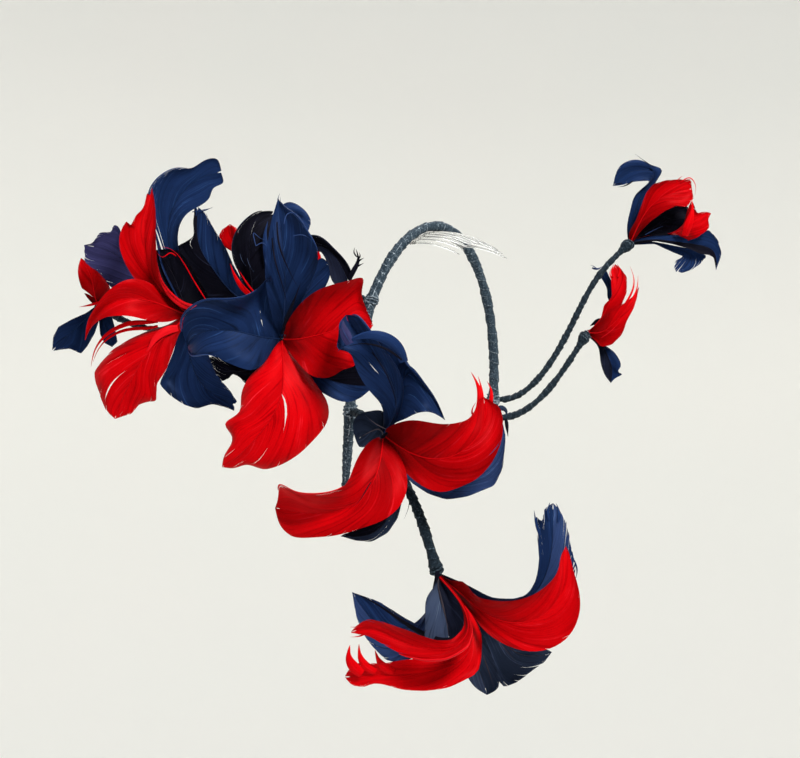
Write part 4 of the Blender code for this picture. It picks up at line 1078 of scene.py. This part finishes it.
def add_fold(heap, edge, rib, facing, fold, finish):
    """A rolled edge: edge + outward*r*sin(turn) + facing*r*(1-cos(turn)), with r growing and shrinking along the
    fold."""
    _, start, end, radius = fold
    shares = np.linspace(start, end, FOLD_ROWS)
    line = at(edge, shares)
    outward = units(line - at(rib, shares))
    rise = radius * MILLIMETRE * np.sin(pi * np.linspace(0.02, 0.98, FOLD_ROWS)) ** FOLD_FULLNESS
    turn = np.linspace(FOLD_START, FOLD_TURN, FOLD_COLUMNS)
    points = (
        line[:, None]
        + outward[:, None] * (rise[:, None] * (np.sin(turn) + FOLD_INSET)[None])[..., None] * FOLD_FLATNESS
        + at(facing, shares)[:, None] * (rise[:, None] * (1 - np.cos(turn))[None])[..., None]
    )
    quads = grid_quads(np.arange(FOLD_ROWS * FOLD_COLUMNS).reshape(FOLD_ROWS, FOLD_COLUMNS))
    uv = np.stack(np.broadcast_arrays(turn[None] * FOLD_UV[0], shares[:, None] * FOLD_UV[1]), axis=-1)
    points, uv, quads, behind = closed_shell(points.reshape(-1, 3), uv.reshape(-1, 2), quads, VANE_THICKNESS)
    heap.add(points, uv, finish + 1 - behind, quads)


BLADE_ROWS, BLADE_COLUMNS = 36, 5
BLADE_ROOT, BLADE_GROWTH = 0.65, 1.3
BLADE_TAPER, BLADE_POINT = 1.7, 0.75
NARROWEST = 0.02


def add_blade(heap, points, half_width, finish):
    """A single lock: line + side*w*v + toward*w*(1-v*v)/3, where w grows from the root and tapers to the tip."""
    line = smooth_curve(points, BLADE_ROWS)
    share = np.linspace(0, 1, BLADE_ROWS)
    side = units(np.cross(np.gradient(line, axis=0), TOWARD))
    grown = BLADE_ROOT + (1 - BLADE_ROOT) * np.sin(pi * np.clip(share * BLADE_GROWTH, 0, 1))
    width = half_width * MILLIMETRE * grown * np.clip(1 - share**BLADE_TAPER, NARROWEST, 1) ** BLADE_POINT
    v = np.linspace(-1, 1, BLADE_COLUMNS)
    points = (
        line[:, None] + side[:, None] * (width[:, None] * v[None])[..., None]
        + TOWARD * (width[:, None] * (1 - v**2)[None] / 3)[..., None]
    )
    quads = grid_quads(np.arange(BLADE_ROWS * BLADE_COLUMNS).reshape(BLADE_ROWS, BLADE_COLUMNS))
    uv = np.stack(np.broadcast_arrays(v[None] * half_width * MILLIMETRE, share[:, None] * length_of(line)), axis=-1)
    points, uv, quads, _ = closed_shell(points.reshape(-1, 3), uv.reshape(-1, 2), quads, VANE_THICKNESS)
    heap.add(points, uv, finish, quads)


# Each dye on the vane, on its duller underside and on the rib: deep, body and light colour, roughness and sheen
DYES = {
    "red": (
        ("#860004", "#ae0207", "#d4202c", 0.44, 0.10), ("#8e0509", "#b60c15", "#e04048", 0.55, 0.12),
        ("#860106", "#a20409", "#bc141e", 0.50, 0.02),
    ),
    "navy": (
        ("#0d1830", "#142549", "#2c4a7e", 0.44, 0.14), ("#17223e", "#26375f", "#4c6696", 0.55, 0.13),
        ("#0b1428", "#101d38", "#24365c", 0.50, 0.02),
    ),
    "ink": (
        ("#06060b", "#0c0c15", "#24273a", 0.50, 0.12), ("#0a0b14", "#141827", "#303752", 0.55, 0.12),
        ("#06060a", "#0e0e16", "#2a2c3c", 0.50, 0.01),
    ),
    "plum": (
        ("#1c1a34", "#28284a", "#45446c", 0.48, 0.12), ("#232240", "#34345a", "#5c5c88", 0.55, 0.14),
        ("#141428", "#1e1e3a", "#36365a", 0.50, 0.02),
    ),
    "slate": (
        ("#131a28", "#20293c", "#42516e", 0.50, 0.12), ("#232c40", "#36425c", "#64748f", 0.55, 0.12),
        ("#1c1a20", "#2e2a30", "#564c50", 0.50, 0.02),
    ),
}
FEATHER_PARTS = {"": "goose_feather", "_back": "feather_back", "_rib": "feather_rib"}
# The place of each finish among MATERIALS
FINISHES = {finish: place for place, finish in enumerate(dye + part for dye in DYES for part in FEATHER_PARTS)}

RIB_RINGS, RIB_SIDES = 48, 7
RIB_RADIUS, RIB_TIP_RADIUS = 0.00036, 0.00008
RIB_END = 0.985
FIRST_SEED = 1000


def build_feather(drawn, heart, order):
    """Two vanes, their folds and loose locks, and a rib that thins to the tip."""
    rng = np.random.default_rng(FIRST_SEED + order)
    rib, edges, facing = drawn_lines(drawn, *heart)
    dye = drawn.name.split("_")[1]
    shades = drawn.shades or (dye, dye)
    heap = Heap()
    for side in (LEFT, RIGHT):
        vane(heap, rib, edges[side], facing, drawn, side, rng, FINISHES[shades[side]])
    for fold in drawn.folds:
        add_fold(heap, edges[fold[0]], rib, facing, fold, FINISHES[shades[fold[0]]])
    for shade, half_width, points in drawn.blades:
        x, y, near = np.array(points, float).T
        add_blade(heap, in_photo(x, y, heart[0] @ TOWARD + near * MILLIMETRE), half_width, FINISHES[shade])
    shares = np.linspace(0, RIB_END, RIB_RINGS)
    radii = RIB_RADIUS * (1 - shares) ** 0.8 + RIB_TIP_RADIUS
    heap.tube(at(rib, shares), radii, RIB_SIDES, FINISHES[shades[RIGHT].split("_")[0] + "_rib"])
    used, places = np.unique(np.concatenate(heap.finish), return_inverse=True)
    heap.finish = [places.reshape(-1)]
    heap.piece(drawn.name + "_curled", drawn.name, [MATERIALS[place] for place in used])


# The sides of a plain binding's ring, and of one whose seam has to show
BINDING_SIDES, SEAMED_SIDES = 28, 60
# The strip's pitch wanders in turns, over a short and a long stretch of so many pitches each, and sways with the angle
SHORT_WANDER, LONG_WANDER = (0.20, 1.3), (1.1, 5.0)
SWAY, SWAY_RATE = 0.10, 130
# Each turn of the strip sits tighter or looser, and the weave and the wire under it show as relief in metres
TURN_SITS = (0.5, 1.3)
WEAVE_RELIEF, THREADS_ALONG, THREADS_ROUND = 0.00006, 1400, 9
LUMP_RELIEF, LUMP_PITCHES, LEAST_LUMPED = 0.00030, 0.9, 0.0012
# The seam's thread strays sideways and its brightness varies, each over its own length, and it outshines the strips
SEAM_STRAY, SEAM_STRAY_LENGTH = 0.03, 0.007
SEAM_BRIGHT, SEAM_UNEVEN, SEAM_FRAY_LENGTH = 0.98, 0.18, 0.0018
SEAM_COLUMNS = 0.55
BESIDE_SEAM = 0.985
# The narrow end of the silk strip, wound over a joint, and how much of its edge shows light
WRAP_RADIUS = 0.00050
WRAP_STEPS = 22
WRAP_SIDES = 8
WRAP_EDGE = 0.915


def wound(name, line, radii, pitch, lap, seed, finish, wraps=(), seam=None):
    """Ribbon wound round a line: the radius grows by lap across each turn of the ribbon and drops at its edge. The
    turn's place is walked/pitch + angle/2pi, with seeded noise, and its fraction is the place across the ribbon.
    A seam is a share of the way round at which a frayed thread runs along the line."""
    rng = np.random.default_rng(seed)
    sides = BINDING_SIDES if seam is None else SEAMED_SIDES
    walked = walked_along(line)
    turn = np.arange(sides) / sides
    wander = sum(far * smooth_noise(rng, walked, pitch * pitches) for far, pitches in (SHORT_WANDER, LONG_WANDER))
    sway = SWAY * np.sin(2 * pi * turn + walked[:, None] * SWAY_RATE)
    phase = walked[:, None] / pitch + turn[None] + wander[:, None] + sway
    across = phase - np.floor(phase)
    strip = np.floor(phase).astype(int)
    strip -= strip.min()
    sit = rng.uniform(*TURN_SITS, strip.max() + 1)[strip]
    threads = (walked[:, None] * THREADS_ALONG + turn[None] * THREADS_ROUND).ravel()
    weave = WEAVE_RELIEF * smooth_noise(rng, threads, 1.0).reshape(across.shape)
    lump = LUMP_RELIEF * smooth_noise(rng, walked, pitch * LUMP_PITCHES)[:, None]
    heap = Heap()
    radius = radii[:, None] + lap * sit * across**1.5 + weave + lump * (radii > LEAST_LUMPED)[:, None]
    heap.tube(line, radius, sides, 0)
    for wrap in wraps:
        heap.tube(wrap, WRAP_RADIUS, WRAP_SIDES, 0)
    made = heap.piece(name, name.replace("_wound", ""), [finish], SHARP_BINDING)
    if seam is not None:
        stray = SEAM_STRAY * smooth_noise(rng, walked, SEAM_STRAY_LENGTH)[:, None]
        thread = SEAM_BRIGHT + SEAM_UNEVEN * smooth_noise(rng, walked, SEAM_FRAY_LENGTH)[:, None]
        near = np.abs(turn[None] - seam - stray) < SEAM_COLUMNS / sides
        across = np.where(near, thread, across * BESIDE_SEAM)
    edge = np.concatenate([across.ravel(), np.full(heap.count - across.size, WRAP_EDGE)])
    give_points(made.data, "strip_edge", edge)


# A wrap's wobble, as shares of its run and of a turn, its lean in metres, and how deep and fast its ends sink in
WRAP_WOBBLE, WOBBLE_RUN, WOBBLE_TURN = 0.13, 0.10, 0.04
WRAP_LEAN = 0.0012
WRAP_SUNK, WRAP_SINKING = 0.6, 4


def wrap_round(line, start, end, radius, turns, rng):
    """A narrow strip coiled round a line: its centre runs from start to end, shares of the line, and it stands radius
    away at the angle 2*pi*turns*t, with seeded wobble in place and angle, and sinks into the binding at its two
    ends."""
    t = np.linspace(0, 1, int(turns * WRAP_STEPS))
    wobble = smooth_noise(rng, t, WRAP_WOBBLE)
    place = at(line, np.clip(start + (end - start) * (t + WOBBLE_RUN * wobble), 0, 1))
    ahead = unit(at(line, np.array([end]))[0] - at(line, np.array([start]))[0])
    right = unit(np.cross(ahead, UP + 0.4 * ACROSS))
    angle = 2 * pi * (turns * t + WOBBLE_TURN * wobble + rng.uniform(0, 1))
    spoke = np.cos(angle)[:, None] * right + np.sin(angle)[:, None] * np.cross(ahead, right)
    sink = np.clip(np.minimum(t, 1 - t) * turns * WRAP_SINKING, 0, 1)
    tilt = (WRAP_LEAN * np.sin(angle + rng.uniform(0, 6)))[:, None] * ahead
    return place + tilt + spoke * (radius * (WRAP_SUNK + (1 - WRAP_SUNK) * sink))[:, None]


# The binding is thicker where it ties a stem to the band, and its narrow end goes JOINT_TURNS times round there, over
# JOINT_WRAP of the band's length to each side
JOINT_SWELL = 0.0007
JOINT_REACH = 0.0045
JOINT_WRAP = 0.007
JOINT_TURNS = 2.5
# The silk's width on the band, what a turn adds to the radius, and how much thinner the wire is than the part
BAND_STRIP, BAND_LAP, BAND_UNDER = 0.0058, 0.00042, 0.00025
BAND_POINTS, BAND_RINGS = 60, 900
BAND_END, BAND_END_SHARE = 0.72, 0.08
BAND_SEAM = 0.75
BAND_SEED, JOINT_SEED = 5, 77


def build_band(finish):
    """The band's tube, its radius swelling by JOINT_SWELL * exp(-(distance/JOINT_REACH)**2) round each joint."""
    drops = BAND_RISE * (1 - np.cos(pi / 2 * np.linspace(0, 1, BAND_POINTS)))
    half = np.concatenate([drops, [BAND_DROP]])
    coarse = [band_at(-1, drop) for drop in half[::-1]] + [band_at(1, drop) for drop in half[1:]]
    line = smooth_curve(coarse, BAND_RINGS)
    share = np.linspace(0, 1, BAND_RINGS)
    taper = np.clip(np.minimum(share, 1 - share) / BAND_END_SHARE, 0, 1)
    radii = BAND_RADIUS * (BAND_END + (1 - BAND_END) * taper) - BAND_UNDER
    rng = np.random.default_rng(JOINT_SEED)
    wraps = []
    for flower in FLOWERS:
        if flower.on == "band":
            away = np.linalg.norm(line - band_at(flower.side, flower.hold * BAND_DROP), axis=1)
            radii = radii + JOINT_SWELL * np.exp(-((away / JOINT_REACH) ** 2))
            middle = share[away.argmin()]
            for reach in (JOINT_WRAP, -0.8 * JOINT_WRAP):
                start, end = middle - reach, middle + reach
                wraps.append(wrap_round(line, start, end, BAND_RADIUS + JOINT_SWELL, JOINT_TURNS, rng))
    wound("hair_band_wound", line, radii, BAND_STRIP, BAND_LAP, BAND_SEED, finish, wraps, BAND_SEAM)


STEM_STRIP, STEM_LAP, STEM_UNDER = 0.0046, 0.00046, 0.00022
RING_APART = 0.00042
LEAST_RADIUS = 0.0003
FOOT_LENGTH = 0.006
# The silk runs TIP_LENGTH past the collar and narrows there, more where the collar points at the viewer
TIP_LENGTH, TIP_NARROWS, TIP_FADE = 0.001, 0.0045, 0.0055
NARROWED = 0.45
# A collar seen from the side has three turns of strip: how far each starts before the end, and its share of the radius
COLLAR_WRAPS = ((0.0066, 0.62), (0.0045, 0.86), (0.0030, 0.88))
COLLAR_WRAP_RUN, COLLAR_TURNS = 0.0012, 1.6
HEAD_ON = 0.7
STEM_SEED, COLLAR_SEED = 40, 900


def build_stem(flower, line, finish):
    """A stem's tube: the wire, thinner at its foot, swells into the collar and narrows again past it."""
    length = length_of(line)
    ahead = unit(line[-1] - line[-2])
    longer = smooth_curve([*line, line[-1] + ahead * TIP_LENGTH], int(length / RING_APART) + 24)
    walked = np.linspace(0, length + TIP_LENGTH, len(longer))
    swell = smooth_step(np.clip((walked - (length - COLLAR_LENGTH)) / (COLLAR_LENGTH * 0.9), 0, 1))
    foot = FOOT_SHARE + (1 - FOOT_SHARE) * np.clip(walked / FOOT_LENGTH, 0, 1)
    narrow = np.clip((walked - (length - TIP_NARROWS)) / TIP_FADE, 0, 1)
    end = 1 - NARROWED * (1 + max(ahead @ TOWARD, 0.0)) * smooth_step(narrow)
    wire = STEM_RADIUS * flower.girth * foot
    radii = np.maximum((wire * (1 - swell) + COLLAR_RADIUS * swell) * end - STEM_UNDER, LEAST_RADIUS)
    seed = STEM_SEED + len(flower.name) * 7 + int(length * 1e4)
    rng = np.random.default_rng(seed + COLLAR_SEED)
    wraps = []
    if ahead @ TOWARD < HEAD_ON:
        for back, girth in COLLAR_WRAPS:
            start = (length - back) / length
            run = COLLAR_WRAP_RUN / length
            wraps.append(wrap_round(longer, start, start + run, COLLAR_RADIUS * girth, COLLAR_TURNS, rng))
    wound(f"{flower.name}_stem_wound", longer, radii, STEM_STRIP, STEM_LAP, seed, finish, wraps)


TOOTH_RADIUS = 0.00085
TOOTH_RINGS, TOOTH_SIDES = 26, 10
SPINE_BARS = (-0.0016, 0.0, 0.0016)
SPINE_RINGS = 60


def build_comb(finish):
    """The comb: a bowed spine of three bars side by side, and teeth that thin and round off to their tips. A point
    this far across and ahead lies under the band's crown, lower by COMB_DROP times the square of its share ahead."""
    reach = SPINE_DEPTH / 2 + TOOTH_LENGTH
    heap = Heap()

    def under(across, ahead):
        share = across / BAND_HALF_WIDTH
        level = (1 - share**2) ** 0.5
        lower = COMB_DROP * (max(ahead, 0.0) / reach) ** 2
        normal = unit(np.array((share / BAND_HALF_WIDTH, 0.0, level / BAND_RISE)))
        line = np.array((share * BAND_HALF_WIDTH, -ahead, BAND_RADIUS - BAND_RISE * (1 - level) - lower))
        return line - normal * (BAND_RADIUS + GAP + COMB_THICKNESS / 2)

    spread = np.linspace(-COMB_WIDTH / 2, COMB_WIDTH / 2, SPINE_RINGS)
    for ahead in SPINE_BARS:
        heap.tube(np.array([under(x, ahead) for x in spread]), TOOTH_RADIUS, TOOTH_SIDES, 0)
    share = np.linspace(0, 1, TOOTH_RINGS)
    radii = TOOTH_RADIUS * np.sqrt(np.clip(1 - share**8, NARROWEST, 1)) * np.linspace(1.0, 0.75, TOOTH_RINGS)
    for tooth in range(COMB_TEETH):
        middle = -COMB_WIDTH / 2 + (tooth + COMB_MARGIN) * COMB_WIDTH / (COMB_TEETH - 1 + 2 * COMB_MARGIN)
        line = np.array([under(middle, step) for step in np.linspace(0, reach, TOOTH_RINGS)])
        heap.tube(line, radii, TOOTH_SIDES, 0)
    heap.piece("hair_comb_clear", "hair_comb", [finish])


FLOOR_HEIGHT = -1.0
FLOOR_MIDDLE = 0.001
STUDIO_RADIUS = 2.6
COVE_RADIUS = 0.9
COVE_STEPS = 16
WALL_HEIGHT = 2.0
STUDIO_SIDES = 96


def build_studio():
    """A round studio: the profile is a flat floor, a quarter circle of COVE_RADIUS and an upright wall, carried round,
    and one face closes its middle."""
    bend = np.linspace(0, pi / 2, COVE_STEPS)
    flat = STUDIO_RADIUS - COVE_RADIUS
    cove = np.stack([flat + COVE_RADIUS * np.sin(bend), COVE_RADIUS * (1 - np.cos(bend))], axis=-1)
    profile = np.concatenate([[[FLOOR_MIDDLE, 0]], cove, [[STUDIO_RADIUS, WALL_HEIGHT]]])
    turn = 2 * pi * np.arange(STUDIO_SIDES) / STUDIO_SIDES
    out, height = profile[:, :1], profile[:, 1:] + FLOOR_HEIGHT
    rings = np.broadcast_arrays(out * np.cos(turn), out * np.sin(turn), height)
    index = np.arange(rings[0].size).reshape(rings[0].shape)
    faces = [*grid_quads(index, closed=True)[:, ::-1].tolist(), index[0].tolist()]
    points = np.stack(rings, axis=-1).reshape(-1, 3)
    linked("studio_floor", smooth_mesh("studio_floor", points, faces, [studio_paint("studio_paint")]))


# Each light: where it is seen to stand, how wide it is, its watts and its colour
LIGHTS = {
    "window_light": ((0.55, 0.80, 0.85), 0.45, 34.0, "#fffaf2"),
    "fill_light": ((-1.2, 0.9, 0.2), 1.4, 4.5, "#f2f5ff"),
    "floor_bounce": ((-0.3, 1.1, -0.95), 1.2, 5.5, "#fff6ec"),
    "rim_light": ((0.1, -0.9, 1.5), 1.0, 12.0, "#ffffff"),
}
LIGHTS_AIM = (-0.03, 0.0, -0.10)


def build_lights():
    """Soft daylight all round, a window, and three wide lights that fill, lift the undersides and pick out edges."""
    world = bpy.data.worlds.new("soft_daylight")
    world.use_nodes = True
    background = world.node_tree.nodes["Background"]
    feed(world.node_tree, background, {"Color": to_linear("#f3f6ff"), "Strength": 0.31})
    bpy.context.scene.world = world
    bpy.context.scene.view_settings.view_transform = "Standard"
    for name, (place, size, watts, colour) in LIGHTS.items():
        data = bpy.data.lights.new(name, "AREA")
        data.shape = "DISK"
        data.size = size
        data.energy = watts
        data.color = to_linear(colour)[:3]
        made = linked(name, data)
        made.location = seen(*place)
        aim = Vector(seen(*LIGHTS_AIM)) - Vector(seen(*place))
        made.rotation_euler = aim.to_track_quat("-Z", "Y").to_euler()


def build_camera():
    """A camera at the photograph's distance and angle, whose frame is as wide as the photograph's."""
    data = bpy.data.cameras.new("picture_camera")
    data.sensor_width = SENSOR_WIDTH
    data.lens = SENSOR_WIDTH * CAMERA_DISTANCE / (PHOTO_WIDTH * METRES_PER_PIXEL)
    data.clip_start, data.clip_end = NEAREST_SEEN, FARTHEST_SEEN
    made = linked("picture_camera", data)
    made.location = seen(CAMERA_ACROSS, CAMERA_DISTANCE, CAMERA_UP)
    made.rotation_euler = Vector(-TOWARD).to_track_quat("-Z", "Y").to_euler()
    bpy.context.scene.camera = made


build_camera()
band_silk = silk_strip("slate_silk_strip", "#121920", "#2a3742", "#9aa7b2")
stem_silk = silk_strip("dark_silk_strip", "#080d12", "#161f27", "#53616d")
MATERIALS = [
    dyed_feather(f"{dye}_{part}", *grades)
    for dye, parts in DYES.items() for part, grades in zip(FEATHER_PARTS.values(), parts)
]

stems, hearts = {}, {}
for flower in FLOWERS:
    line = stem_of(flower, stems)
    stems[flower.name] = line, flower.girth
    hearts[flower.name] = line[-1], unit(line[-1] - line[-2])
    build_stem(flower, line, stem_silk)
line = stems["wing"][0]
place = int(round(KNOT_HOLD * (len(line) - 1)))
hearts["knot"] = line[place], unit(line[place + 1] - line[place - 1])
for order, drawn in enumerate(DRAWN):
    build_feather(drawn, hearts[drawn.name.split("_")[0]], order)
build_band(band_silk)
build_comb(clear_plastic("clear_moulded_plastic"))
build_studio()
build_lights()
